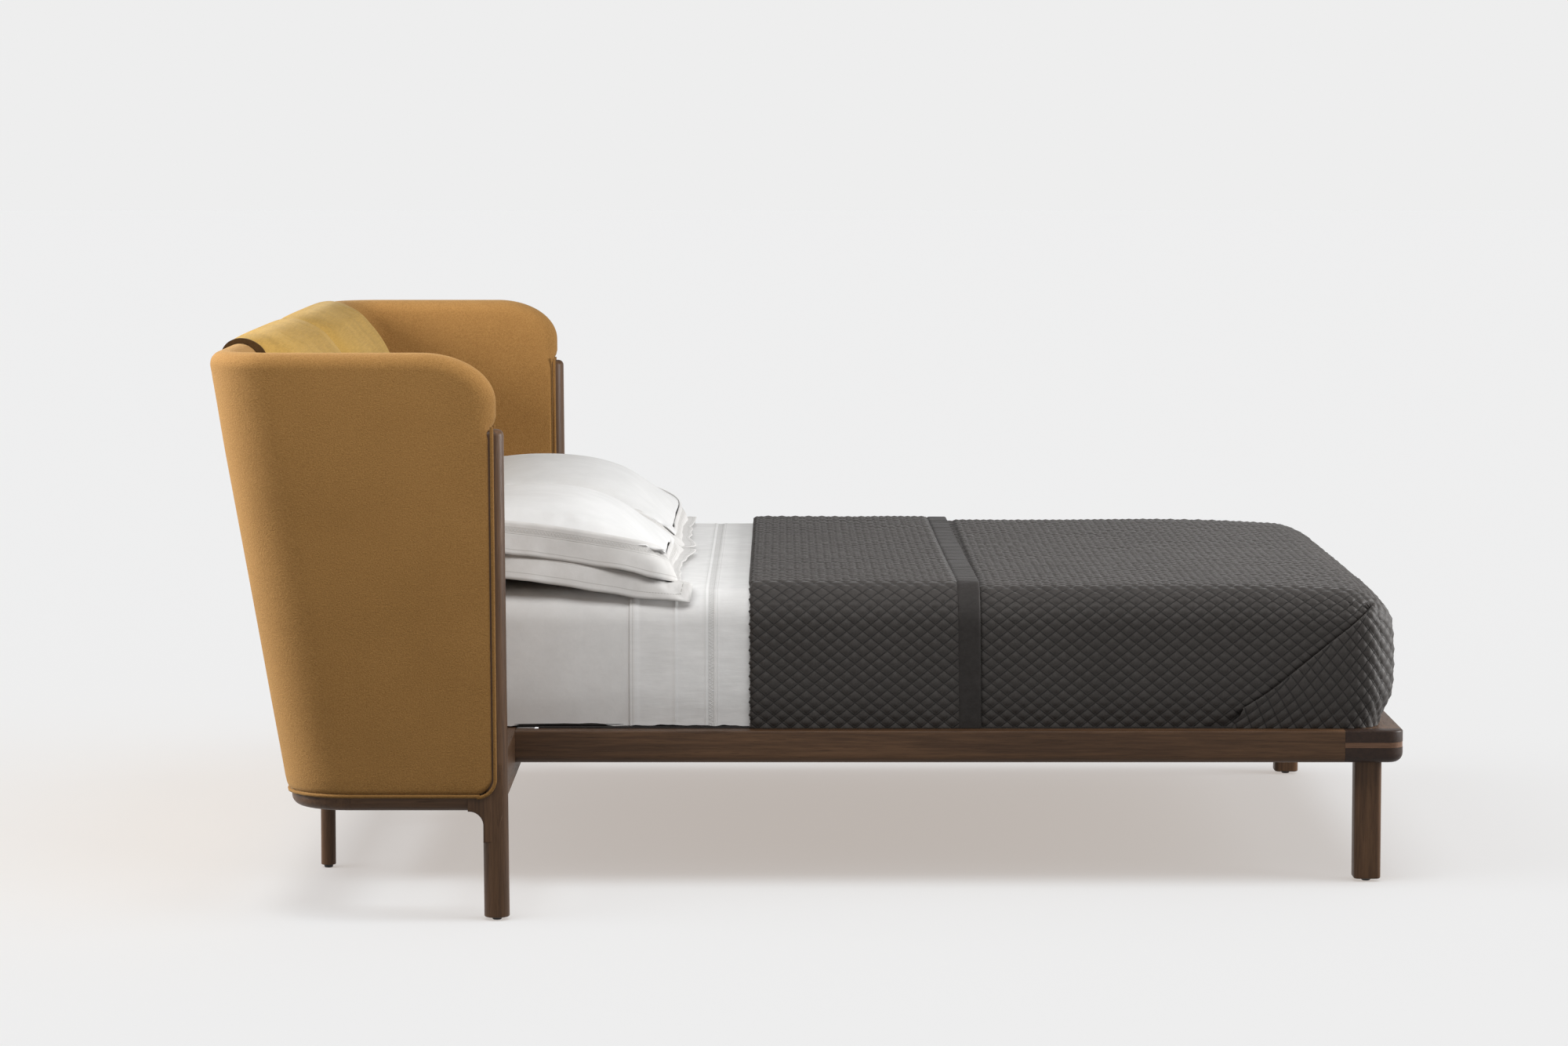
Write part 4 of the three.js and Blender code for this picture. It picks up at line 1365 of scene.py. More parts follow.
@dataclass
class Bedding:
    """Mattress, fitted sheet, top sheet and the quilted coverlet with its turned-back head."""

    rounding: Vector = field(default_factory=lambda: Vector((0.075, 0.052, 0.058)))
    hem: float = 0.3108
    sheet_lift: float = 0.003
    top_sheet_lift: float = 0.006
    quilt_lift: float = 0.0115
    turn_lift: float = 0.0195
    puff: float = 0.0042
    half_diamond: Point = (0.016, 0.013)
    turn_start: float = -0.1215
    band_start: float = 0.2856
    band_end: float = 0.3255
    body_start: float = 0.27
    fitted_end: float = -0.30
    edge_turn: float = 0.0045
    fold_slope: float = 1.18
    rail_gap: float = 0.7982
    strip_start: float = -0.5485
    strip_end: float = 1.060

    def __post_init__(self) -> None:
        """Take the mattress's size from the frame."""
        low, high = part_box("mattress")
        self.head, self.foot, self.half, self.top, self.under = low.x, high.x, high.y, high.z, low.z
        self.drop = self.top - self.hem

    def over(self, p: float, q: float, lift: float) -> Vector:
        """Where a point of flat cloth lies once it is spread over the mattress.

        Args:
            p: Distance along the bed; past either end it runs down that end.
            q: Distance across from the middle; past a side it runs down that side.
            lift: Height above the mattress.

        Returns:
            The point.
        """
        side = 1 if q >= 0 else -1
        beyond = max(p - self.foot, self.head - p, 0.0)
        past = max(abs(q) - self.half, 0.0)
        end = 1 if p > (self.head + self.foot) / 2 else -1
        if beyond > 0:
            x = (self.foot - past) if end > 0 else (self.head + past)
            depth = beyond
        else:
            x, depth = p, past
        y = min(abs(q), self.half)
        inner_x = min(max(x, self.head + self.rounding.x), self.foot - self.rounding.x)
        inner_z = min(self.top - depth, self.top - self.rounding.z)
        inner = Vector((inner_x, min(y, self.half - self.rounding.y), inner_z))
        sharp = Vector((x, y, self.top - depth))
        reach = [(a - b) / r for a, b, r in zip(sharp, inner, self.rounding)]
        bent = Vector([math.tan(min(1.0, max(-1.0, e)) * math.pi / 4) for e in reach])
        bent.normalize()
        spot = inner + Vector([b * r for b, r in zip(bent, self.rounding)])
        normal = Vector([b / r for b, r in zip(bent, self.rounding)])
        normal.normalize()
        spot += normal * lift + self._slump(spot, normal)
        spot.y *= side
        return spot

    def _slump(self, spot: Vector, normal: Vector) -> Vector:
        """Bulge of the sides, tuck at the hem and slight dips of the top at a point of the near half."""
        share = min(1.0, max(0.0, (self.top - spot.z) / (self.top - self.under)))
        sideways = Vector((normal.x, normal.y, 0))
        end_share = abs(normal.x)
        swell = math.sin(math.pi * share) * (0.004 + 0.006 * end_share)
        tuck = smoothstep(share, 0.72, 1.0) * (0.004 + 0.016 * end_share)
        corner = math.exp(-(((spot.x - self.foot) / 0.16) ** 2 + ((spot.y - self.half) / 0.16) ** 2))
        dip = 0.0035 * noise.noise(Vector((spot.x * 2.3, spot.y * 2.3, 0.7))) - 0.010 * corner
        return sideways * (swell - tuck) + Vector((0, 0, dip * (1 - share) ** 2))

    def make(self) -> None:
        """Build every layer."""
        self._mattress()
        self._fitted_sheet()
        self._top_sheet()
        self._coverlet()
        self._turn_back()

    def _mattress(self) -> None:
        """The mattress in its ticking, with piped edges, and near-black strips in the gap by the rails; the
        lower ticking, the piping and the strips are painted shade.
        """
        piece = Piece("mattress_core", "mattress_set")
        mesh = piece.mesh
        inset, corner = 0.004, 0.07
        low = (self.head + inset, inset - self.half, self.under)
        box_into(mesh, low, (self.foot - inset, self.half - inset, self.top - inset))
        bevel(mesh, upright(mesh, 0.1), corner, 8)
        upper = [e for e in mesh.edges if min(v.co.z for v in e.verts) > self.top - 0.005]
        bevel(mesh, upper, 0.055, 7, clamp=True)
        core = piece.weld().place(TICKING_SHADED_BELOW, slot="ticking", replaces=["mattress"], smooth=0.9)
        path = []
        centre = ((self.head + self.foot) / 2, 0)
        half_x = (self.foot - self.head) / 2 - inset
        for (sx, sy), start in (((1, 1), 0), ((-1, 1), 90), ((-1, -1), 180), ((1, -1), 270)):
            spot = (centre[0] + sx * (half_x - corner), sy * (self.half - inset - corner))
            path += [(x, y, self.under + 0.006) for x, y in arc(spot, corner, start, start + 90, 8)]
        # Painted shade: the piping along the mattress's lower edge is near black so that the gap above the
        # rails reads as shade.
        piping = Piece("mattress_piping", "mattress_set", tube(path, 0.0045, closed=True))
        piping.place(CHARCOAL_BAND_AND_SHADE, slot="ticking", smooth=1.2)
        # Painted shade: near-black strips laid in the gap between the mattress and the side rails stand for
        # the shade there.
        shade_strips = Piece("mattress_felt_strips", "mattress_set")
        low, lip, outer = self.under + 0.0004, self.under - 0.0080, self.rail_gap
        for side in (-1, 1):
            edge = self.half - 0.010
            outline = [(edge, low), (outer - 0.0016, low), (outer - 0.0016, lip), (outer, lip)]
            outline = [(side * y, z) for y, z in [*outline, (outer, low + 0.0018), (edge, low + 0.0018)]]
            prism(shade_strips.mesh, outline, end_view, self.strip_start, self.strip_end)
        shade_strips.place(CHARCOAL_BAND_AND_SHADE, slot="ticking", smooth=0.6)

    def _spread(self, piece: Piece, lift: Callable[[float, float], float]) -> None:
        """Lay a flat mesh over the mattress, taking each point's height on top of the cloth's own lift."""
        for vert in piece.mesh.verts:
            p, q, height = vert.co
            vert.co = self.over(p, q, lift(p, q) + height)

    def _part_edges(self, mesh: bmesh.types.BMesh, end: float | None = None) -> None:
        """Part flat cloth along the mattress's sides and, if given, along one of its ends."""
        for side in (-self.half, self.half):
            cut(mesh, (0, side), (0, 1))
        if end is not None:
            cut(mesh, (end, 0), (1, 0))

    def _open_corners(self, mesh: bmesh.types.BMesh, ends: Sequence[int]) -> None:
        """Cut away the squares at the corners that a sewn or folded sheet doesn't show."""
        corners = []
        for face in mesh.faces:
            p, q, _ = face.calc_center_median()
            beyond_head = p < self.head and -1 in ends
            beyond_foot = p > self.foot and 1 in ends
            if abs(q) > self.half and (beyond_head or beyond_foot):
                corners.append(face)
        bmesh.ops.delete(mesh, geom=corners, context="FACES")

    def _fitted_sheet(self) -> None:
        """The fitted sheet, drawn over the head end and down both sides."""
        width = self.half + self.drop
        piece = Piece("fitted_sheet_cloth", "mattress_set")
        piece.mesh = cloth_grid((self.head - self.drop, -width), (self.fitted_end, width), (0.0089, 0.0089))
        self._part_edges(piece.mesh, self.head)
        self._open_corners(piece.mesh, (-1,))
        self._wrinkle(piece.mesh)
        self._spread(piece, lambda p, q: self.sheet_lift)
        piece.weld(2e-5, outward=False)
        sheet = piece.place(LINEN, slot="white_cotton", replaces=["fitted_sheet"], smooth=1.4)

    def _wrinkle(self, mesh: bmesh.types.BMesh) -> None:
        """Give a sheet soft upright folds down its sides and a slack hem."""
        for vert in mesh.verts:
            p, q, height = vert.co
            depth = max(0.0, abs(q) - self.half)
            fold = noise.noise(Vector((p * 8.5, q * 1.3, 2.0)))
            fold += 0.5 * noise.noise(Vector((p * 21, q * 3, 5.0)))
            hang = smoothstep(depth, 0.02, 0.22)
            top_ripple = 0.0008 * noise.noise(Vector((p * 14, q * 9, 8.0)))
            shown = 1 - smoothstep(p, -0.13, -0.09)
            vert.co.z = height + (0.0026 * (fold + 0.35) * hang + top_ripple * (1 - hang)) * shown
            wave = noise.noise(Vector((p * 19, 0, 3.0))) + 0.5 * noise.noise(Vector((p * 47, 0, 6.0)))
            raised = (0.0042 + 0.0048 * wave) * smoothstep(depth, self.drop - 0.03, self.drop)
            vert.co.y -= math.copysign(max(0.0, raised), q)

    def _top_sheet(self) -> None:
        """The top sheet: a stitched head hem, a raised tuck and a drawn-thread band."""
        width = self.half + self.drop
        start, shown = -0.3665, -0.100
        piece = Piece("top_sheet_cloth", "mattress_set")
        piece.mesh = cloth_grid((start, -width), (shown, width), (0.0027, 0.0089))
        rest = cloth_grid((shown, -width), (self.foot + self.drop, width), (0.05, 0.0356))
        absorb(piece.mesh, rest)
        self._wrinkle(piece.mesh)
        for vert in piece.mesh.verts:
            vert.co.z += self._stitched_relief(vert.co.x, vert.co.y)
        self._part_edges(piece.mesh)
        self._open_corners(piece.mesh, (1,))
        edge = [e for e in piece.mesh.edges if e.is_boundary and all(v.co.x < start + 1e-5 for v in e.verts)]
        self._turn_under(piece.mesh, edge, Vector((-0.0002, 0, -0.0026)))
        self._spread(piece, lambda p, q: self.top_sheet_lift)
        sheet = piece.place(DRAWN_SHEET, slot="white_cotton", replaces=["top_sheet"], smooth=1.4)

    @staticmethod
    def _turn_under(mesh: bmesh.types.BMesh, edges: list[bmesh.types.BMEdge], shift: Vector) -> None:
        """Give an edge of flat cloth a turned-under thickness."""
        grown = bmesh.ops.extrude_edge_only(mesh, edges=edges)["geom"]
        verts = [g for g in grown if isinstance(g, bmesh.types.BMVert)]
        bmesh.ops.translate(mesh, verts=verts, vec=shift)

    @staticmethod
    def _stitched_relief(p: float, q: float) -> float:
        """Height of the top sheet's hem, tuck and drawn-thread band."""
        hem = 0.0013 * (1 - smoothstep(p, -0.3515, -0.3485))
        hem += 0.0007 * math.exp(-(((p + 0.3575) / 0.0024) ** 2))
        tuck = 0.0016 * smoothstep(p, -0.2815, -0.2755) * (1 - smoothstep(p, -0.2745, -0.2720))
        away = abs(p + 0.2047)
        band = 0.0007 * math.exp(-(((away - 0.0115) / 0.002) ** 2))
        band -= 0.0010 * (1 - smoothstep(away, 0.005, 0.0075))
        reach = smoothstep(away, 0.012, 0.02) * (1 - smoothstep(away, 0.03, 0.055))
        pucker = 0.0011 * noise.noise(Vector((p * 12, q * 62, 1.0))) * reach
        return hem + tuck + band + pucker

    # -- coverlet

    def _quilted(self, low: Point, high: Point) -> bmesh.types.BMesh:
        """A flat rectangle of diamond quilting, its mesh lines running along the stitching.

        Args:
            low: Lowest (p, q).
            high: Highest (p, q).

        Returns:
            The mesh, with the puffs' heights in Z.
        """
        cells = 4
        half_p, half_q = self.half_diamond
        middle = [(a + b) / 2 for a, b in zip(low, high)]
        span = [(b - a) / 2 for a, b in zip(low, high)]
        count = math.ceil(span[0] / half_p / 2 + span[1] / half_q / 2) + 1
        start = [round(m / (2 * h)) * 2 * h for m, h in zip(middle, self.half_diamond)]
        mesh = bmesh.new()
        bmesh.ops.create_grid(mesh, x_segments=2 * count * cells, y_segments=2 * count * cells, size=count)
        outside = []
        counted = {}
        for vert in mesh.verts:
            heights, spots = [], []
            for value in vert.co.xy:
                whole = math.floor(value + 1e-6)
                share = value - whole
                spread = math.copysign(abs(2 * share - 1) ** 0.52, share - 0.5)
                crowd = share if share < 1e-6 else 0.5 + spread / 2
                spots.append(whole + (crowd if abs(share - 0.5) > 1e-6 else 0.5))
                heights.append((1 - abs(2 * crowd - 1) ** 2.4) ** 0.75 if 0 < crowd < 1 else 0.0)
            a, b = spots
            counted[vert] = (a, b)
            p, q = start[0] + (a + b) * half_p, start[1] + (a - b) * half_q
            vert.co = (p, q, self.puff * heights[0] * heights[1])
            margin = 3 * half_p
            if not (low[0] - margin < p < high[0] + margin and low[1] - margin < q < high[1] + margin):
                outside.append(vert)
        layer = mesh.loops.layers.uv.new("stitching")
        for face in mesh.faces:
            for loop in face.loops:
                loop[layer].uv = counted[loop.vert]
        bmesh.ops.delete(mesh, geom=outside, context="VERTS")
        cut(mesh, (low[0], 0), (-1, 0), drop=True)
        cut(mesh, (high[0], 0), (1, 0), drop=True)
        cut(mesh, (0, low[1]), (0, -1), drop=True)
        cut(mesh, (0, high[1]), (0, 1), drop=True)
        return mesh

    def _fold_line(self, depth: float) -> float:
        """Distance of the corner fold from the foot, along a side, at a depth below the top."""
        return 0.016 + self.fold_slope * (depth - 0.015)

    @staticmethod
    def _fold_bow(depth: float) -> float:
        """How much further the fold swings out near the hem."""
        return 4.7 * max(0.0, depth - 0.17) ** 2

    def _coverlet(self) -> None:
        """The quilted body, hanging down three sides, with its foot corners folded over."""
        width = self.half + self.drop
        piece = Piece("coverlet_cloth", "mattress_set")
        piece.mesh = self._quilted((self.body_start, -width), (self.foot + self.drop, width))
        mesh = piece.mesh
        self._part_edges(mesh, self.foot)
        self._cut_folds(mesh)
        self._spread(piece, self._body_lift)
        quilt = piece.place(QUILTING, slot="charcoal_quilting", replaces=["coverlet"], smooth=math.tau)

    def _cut_folds(self, mesh: bmesh.types.BMesh) -> None:
        """Part the corner squares along the fold and drop the half that is tucked away."""
        for side in (1, -1):
            corner = []
            for face in mesh.faces:
                spot = face.calc_center_median()
                if spot.x > self.foot and spot.y * side > self.half:
                    corner.append(face)
            edges = list({e for f in corner for e in f.edges})
            verts = list({v for f in corner for v in f.verts})
            normal = Vector((-self.fold_slope, side, 0))
            point = Vector((self.foot + 0.015, side * (self.half + 0.016), 0))
            geometry = verts + edges + corner
            bmesh.ops.bisect_plane(mesh, geom=geometry, dist=1e-6, plane_co=point, plane_no=normal)
            up = Vector((0, 0, 1))
            tucked = []
            for face in mesh.faces:
                spot = face.calc_center_median()
                in_corner = spot.x > self.foot and spot.y * side > self.half
                if in_corner and (spot - point).dot(normal) > 0:
                    tucked.append(face)
            bmesh.ops.delete(mesh, geom=tucked, context="FACES")
            on_line = {v for v in mesh.verts if abs((v.co - point).dot(normal)) < 2e-4 and v.co.x > self.foot}
            fold = [e for e in mesh.edges if e.is_boundary and on_line.issuperset(e.verts)]
            out = Vector((-0.6, side * 0.8, 0))
            for outward, down in ((0.0016, 0.0012), (0.0006, 0.0026), (-0.0012, 0.0036)):
                shift = out * outward - up * down
                grown = bmesh.ops.extrude_edge_only(mesh, edges=fold)["geom"]
                verts = [g for g in grown if isinstance(g, bmesh.types.BMVert)]
                bmesh.ops.translate(mesh, verts=verts, vec=shift)
                fold = [g for g in grown if isinstance(g, bmesh.types.BMEdge) and g.is_boundary]
                fold = [e for e in fold if all(v in verts for v in e.verts)]
        for vert in mesh.verts:
            depth = vert.co.x - self.foot
            past = abs(vert.co.y) - self.half
            if depth > 0.17 and past > 0:
                share = min(1.0, past / max(self._fold_line(depth), 1e-3))
                vert.co.y += math.copysign(self._fold_bow(depth) * share, vert.co.y)

    def _body_lift(self, p: float, q: float) -> float:
        """Height of the coverlet's cloth over the mattress."""
        past = abs(q) - self.half
        lift = self.quilt_lift
        if p > self.foot:
            lift += 0.0085 * smoothstep(past, -0.02, 0.03)
        elif past > 0:
            hidden = self._fold_line(past) + self._fold_bow(past) - (self.foot - p)
            lift -= 0.0045 * smoothstep(hidden, -0.012, 0.020)
        under_turn = 1 - smoothstep(p, self.band_end + 0.002, self.band_end + 0.012)
        return lift - 0.003 * under_turn + self._ripple(p, q)

    def _ripple(self, p: float, q: float) -> float:
        """Long shallow ripples of the coverlet's top, running along the bed."""
        on_top = 1 - smoothstep(abs(q), self.half - 0.05, self.half + 0.03)
        fine = noise.noise(Vector((p * 4.5, q * 42, 9.0))) + 0.6 * noise.noise(Vector((p * 9, q * 19, 4.0)))
        return 0.0016 * fine * on_top

    def _turn_back(self) -> None:
        """The head of the coverlet, turned back over itself and ending in a plain band."""
        width = self.half + self.drop
        roll = 0.0055
        piece = Piece("coverlet_turn_back", "mattress_set")
        piece.mesh = self._quilted((self.turn_start - roll * math.pi, -width), (self.band_start, width))
        for vert in piece.mesh.verts:
            fade = smoothstep(self.band_start - vert.co.x, 0.0, 0.005)
            vert.co.z *= fade
        band = cloth_grid((self.band_start, -width), (self.band_end + roll * 2.2, width), (0.0033, 0.0065))
        for vert in band.verts:
            p, q, _ = vert.co
            pucker = noise.noise(Vector((p * 18, q * 95, 0.4))) * (1 - smoothstep(p, 0.29, 0.325) * 0.6)
            seam = math.exp(-(((p - self.band_start) / 0.0022) ** 2))
            vert.co.z = 0.0022 + 0.0011 * pucker - 0.0022 * seam
        absorb(piece.mesh, band, material=1)
        for vert in piece.mesh.verts:
            p, q, height = vert.co
            lift = self.turn_lift + height
            if p < self.turn_start:
                turn = (self.turn_start - p) / roll
                lift = self.turn_lift + height * math.cos(turn) - roll * (1 - math.cos(turn))
                p = self.turn_start - (roll + height) * math.sin(turn)
            elif p > self.band_end:
                turn = min((p - self.band_end) / self.edge_turn, math.pi * 0.9)
                lift = self.turn_lift + 0.0022 - self.edge_turn * (1 - math.cos(turn))
                p = self.band_end + self.edge_turn * math.sin(turn)
            skew = 0.0085 * (1 + q / self.half) * smoothstep(p, self.turn_start, self.band_end)
            vert.co = self.over(p - skew, q, lift + self._ripple(p - skew, q))
        turned = piece.place(QUILTING, CHARCOAL_BAND_AND_SHADE, slot="charcoal_quilting", smooth=math.tau)


# ---------------------------------------------------------------- pillows


class Level(Enum):
    """Place of a pillow in its stack."""

    LOWER = "lower"
    UPPER = "upper"


@dataclass(frozen=True)
class PillowShape:
    """Heights and reach of one pillow, in metres."""

    seam: float
    side_seam: float
    crown: float
    belly: float
    foot: float
    outer: float
    flange: float


SHAPES = {
    Level.LOWER: PillowShape(0.638, 0.662, 0.036, 0.060, -0.290, 0.785, 0.062),
    Level.UPPER: PillowShape(0.698, 0.708, 0.0510, 0.050, -0.290, 0.783, 0.058),
}


@dataclass
class Pillow:
    """A filled pillow in a case with a hemstitched flange."""

    side: str
    sign: int
    level: Level
    head: float = -0.825
    inner: float = 0.052
    resting: float = 0.5900

    def __post_init__(self) -> None:
        """Work out the pillow's middle and half sizes."""
        self.shape = SHAPES[self.level]
        self.middle = Vector(((self.head + self.shape.foot) / 2, (self.inner + self.shape.outer) / 2))
        self.reach = Vector(((self.shape.foot - self.head) / 2, (self.shape.outer - self.inner) / 2))
        self.seed = 3.0 * self.sign + (7.0 if self.level is Level.UPPER else 0.0)

    def seam(self, u: float, v: float) -> float:
        """Height of the seam: it falls towards the foot, steadily outside and late in the middle."""
        slack = 0.034 if self.sign > 0 else 0.0
        foot, head = max(0.0, u), max(0.0, -u)
        middle = self.shape.seam - 0.010 * u - 0.072 * foot**3 - 0.020 * head**2
        outer = self.shape.side_seam - 0.034 * u - (0.011 + slack) * foot**2 - 0.024 * head**2
        share = max(0.0, v) ** 2
        return max(middle + (outer - middle) * share, self.rest(u) + 0.012)

    def rest(self, u: float) -> float:
        """Height of the bedding under the lower pillow."""
        x = self.middle.x + self.reach.x * u
        return self.resting + 0.0045 * smoothstep(x, -0.385, -0.365)

    @staticmethod
    def swell(u: float, v: float) -> float:
        """How full the pillow is at a place: 0 along the seam and 1 in the middle."""
        return max(0.0, 1 - abs(u) ** 2.1) ** 1.10 * max(0.0, 1 - abs(v) ** 2.5) ** 0.70

    def crown(self, u: float, v: float) -> float:
        """Height of the upper face."""
        return self.seam(u, v) + 0.003 + self.shape.crown * self.swell(u, v)

    def belly(self, u: float, v: float) -> float:
        """Height of the lower face, flat where it rests."""
        free = self.seam(u, v) - 0.003 - self.shape.belly * self.swell(u, v)
        if self.level is Level.LOWER:
            return max(free, self.rest(u))
        below = Pillow(self.side, self.sign, Level.LOWER)
        spot = self.plan(u, v)
        lower_u = (spot.x - below.middle.x) / below.reach.x
        lower_v = (spot.y - below.middle.y) / below.reach.y
        return max(free, below.crown(max(-1, min(1, lower_u)), max(-1, min(1, lower_v))) + 0.002)

    def plan(self, u: float, v: float) -> Vector:
        """Plan place of (u, v), its sides drawn in between the corners; Y counts outwards."""
        pull_u = 1 - 0.03 * (1 - v * v) * abs(u) ** 3
        pull_v = 1 - 0.016 * (1 - u * u) * abs(v) ** 3
        return Vector((self.middle.x + self.reach.x * u * pull_u, self.middle.y + self.reach.y * v * pull_v))

    def make(self) -> None:
        """Build the filled case and its flange."""
        body = f"{self.side}_{self.level.value}_pillow"
        filled = self._filled(body)
        self._flange(body, filled)

    def _filled(self, body: str) -> bpy.types.Object:
        """The filled part."""
        piece = Piece(f"{body}_case", body)
        mesh = piece.mesh
        bmesh.ops.create_grid(mesh, x_segments=44, y_segments=60, size=1.0)
        copy = bmesh.ops.duplicate(mesh, geom=mesh.verts[:] + mesh.edges[:] + mesh.faces[:])["geom"]
        under = {g for g in copy if isinstance(g, bmesh.types.BMVert)}
        rims = []
        for layer in (under, set(mesh.verts) - under):
            rims.append([e for e in mesh.edges if e.is_boundary and e.verts[0] in layer])
        for vert in mesh.verts:
            u, v, _ = vert.co
            u, v = (math.copysign(1 - (1 - abs(t)) ** 1.5, t) for t in (u, v))
            height = self.belly(u, v) if vert in under else self.crown(u, v)
            spot = self.plan(u, v)
            vert.co = (spot.x, self.sign * spot.y, height)
        bmesh.ops.bridge_loops(mesh, edges=rims[0] + rims[1])
        bmesh.ops.recalc_face_normals(mesh, faces=mesh.faces)
        # The case wears the darker copy of the white cotton, as painted shade.
        case = piece.place(PILLOW_COTTON_SHADED, slot="white_cotton", replaces=[body], smooth=1.4)
        inflate(case, 0.0095, self._cap, 3.0)
        reshape(case, self._crease)
        return case

    def _cap(self, spot: Vector) -> float:
        """How far pressure may move a point: little where the pillow rests."""
        rest = self.resting if self.level is Level.LOWER else 0.672
        return 0.0015 + 0.0065 * smoothstep(spot.z, rest, rest + 0.05)

    def _crease(self, spot: Vector) -> Vector:
        """Soft puckers along the seam and gentle dents elsewhere."""
        u = (spot.x - self.middle.x) / self.reach.x
        v = (abs(spot.y) - self.middle.y) / self.reach.y
        rim = max(abs(u), abs(v))
        along = spot.y if abs(u) > abs(v) else spot.x
        near = smoothstep(rim, 0.72, 0.98)
        pucker = 0.0022 * noise.noise(Vector((along * 34, rim * 3, self.seed))) * near
        dent = 0.0030 * noise.noise(Vector((spot.x * 4.5, spot.y * 4.5, self.seed)))
        above = smoothstep(spot.z, self.seam(u, v) - 0.01, self.seam(u, v) + 0.03)
        return spot + Vector((0, 0, (pucker + dent) * above))

    def _flange(self, body: str, filled: bpy.types.Object) -> None:
        """The flat border sewn round the case, drooping over what it meets."""
        piece = Piece(f"{body}_flange", body)
        mesh = piece.mesh
        count = 360
        rows = [-0.010, -0.003] + [self.shape.flange * i / 9 for i in range(1, 10)]
        bmesh.ops.create_circle(mesh, segments=count, radius=1.0)
        ring = sorted(mesh.verts, key=lambda v: math.atan2(v.co.y, v.co.x))
        layer = mesh.loops.layers.uv.new("seam")
        angles = [math.atan2(v.co.y, v.co.x) for v in ring]
        loops = [ring]
        edges = mesh.edges[:]
        for _ in rows[1:]:
            grown = bmesh.ops.extrude_edge_only(mesh, edges=edges)["geom"]
            edges = [g for g in grown if isinstance(g, bmesh.types.BMEdge) and g.is_boundary]
            fresh = [g for g in grown if isinstance(g, bmesh.types.BMVert)]
            loops.append(sorted(fresh, key=lambda v: math.atan2(v.co.y, v.co.x)))
        flat = {}
        for distance, loop in zip(rows, loops):
            travelled, last = 0.0, None
            for angle, vert in zip(angles, loop):
                spot = self._border(angle, distance)
                rim = self._border(angle, 0.0)
                travelled += (rim.xy - last.xy).length if last else 0.0
                last = rim
                vert.co = spot
                flat[vert] = (travelled, distance)
        for face in mesh.faces:
            spans = [flat[loop.vert][0] for loop in face.loops]
            wrap = max(spans) - min(spans) > 0.5
            for loop in face.loops:
                along, across = flat[loop.vert]
                if wrap and along < 0.5:
                    along = max(spans)
                loop[layer].uv = (along, across)
        # The flange wears a still darker copy of the white cotton, as painted shade for its hanging border.
        hem = piece.place(HEMSTITCHED_SHADED, slot="white_cotton", smooth=1.4)
        thick = hem.modifiers.new("cloth", "SOLIDIFY")
        thick.thickness = 0.0016
        thick.offset = 0.0

    def _border(self, angle: float, distance: float) -> Vector:
        """A point of the flange at an angle round the pillow and a distance from the seam."""
        c, s = math.cos(angle), math.sin(angle)
        corner = 9.0 + 22.0 * smoothstep(distance, 0.0, self.shape.flange)
        norm = (abs(c) ** corner + abs(s) ** corner) ** (-1 / corner)
        u, v = c * norm, s * norm
        rim = self.plan(u, v)
        weight = abs(u) ** 6 + abs(v) ** 6
        push = Vector((math.copysign(abs(u) ** 9, u), math.copysign(abs(v) ** 9, v)))
        droop = self._droop(u, v) + 0.16 * noise.noise(Vector((angle * 3.1, self.seed, 1.5)))
        out, down = math.cos(droop) * distance, math.sin(droop) * distance
        share = max(0.0, distance / self.shape.flange)
        ripple = 0.0042 * noise.noise(Vector((angle * 5.5, self.seed, 0.0))) * share**1.3
        spot = rim + push * (out + (ripple if weight < 3 else 0))
        height = self.seam(max(-1.0, min(1.0, u)), max(-1.0, min(1.0, v))) - down + ripple * 0.8
        ear = smoothstep(u * v, 0.72, 1.0) if v > 0 and u > 0 else 0.0
        lower_ear = 0.036 if self.sign < 0 else 0.006
        spot.x += (lower_ear if self.level is Level.LOWER else -0.026) * ear * share**2
        if self.level is Level.LOWER:
            height += 0.004 * ear * share
            on_top = smoothstep(0.800 - spot.y, 0.0, 0.02)
            floor = self.rest(u) + 0.0015 - (1 - on_top) * 0.06
            height = max(height, floor)
        return Vector((spot.x, self.sign * spot.y, height))

    def _droop(self, u: float, v: float) -> float:
        """Angle below level at which the flange leaves the seam."""
        outer, foot, head, inner = max(v, 0) ** 8, max(u, 0) ** 8, max(-u, 0) ** 8, max(-v, 0) ** 8
        total = outer + foot + head + inner
        return (1.38 * outer + 1.08 * foot + 0.25 * head + 0.35 * inner) / max(total, 1e-6)


# ---------------------------------------------------------------- back cushions


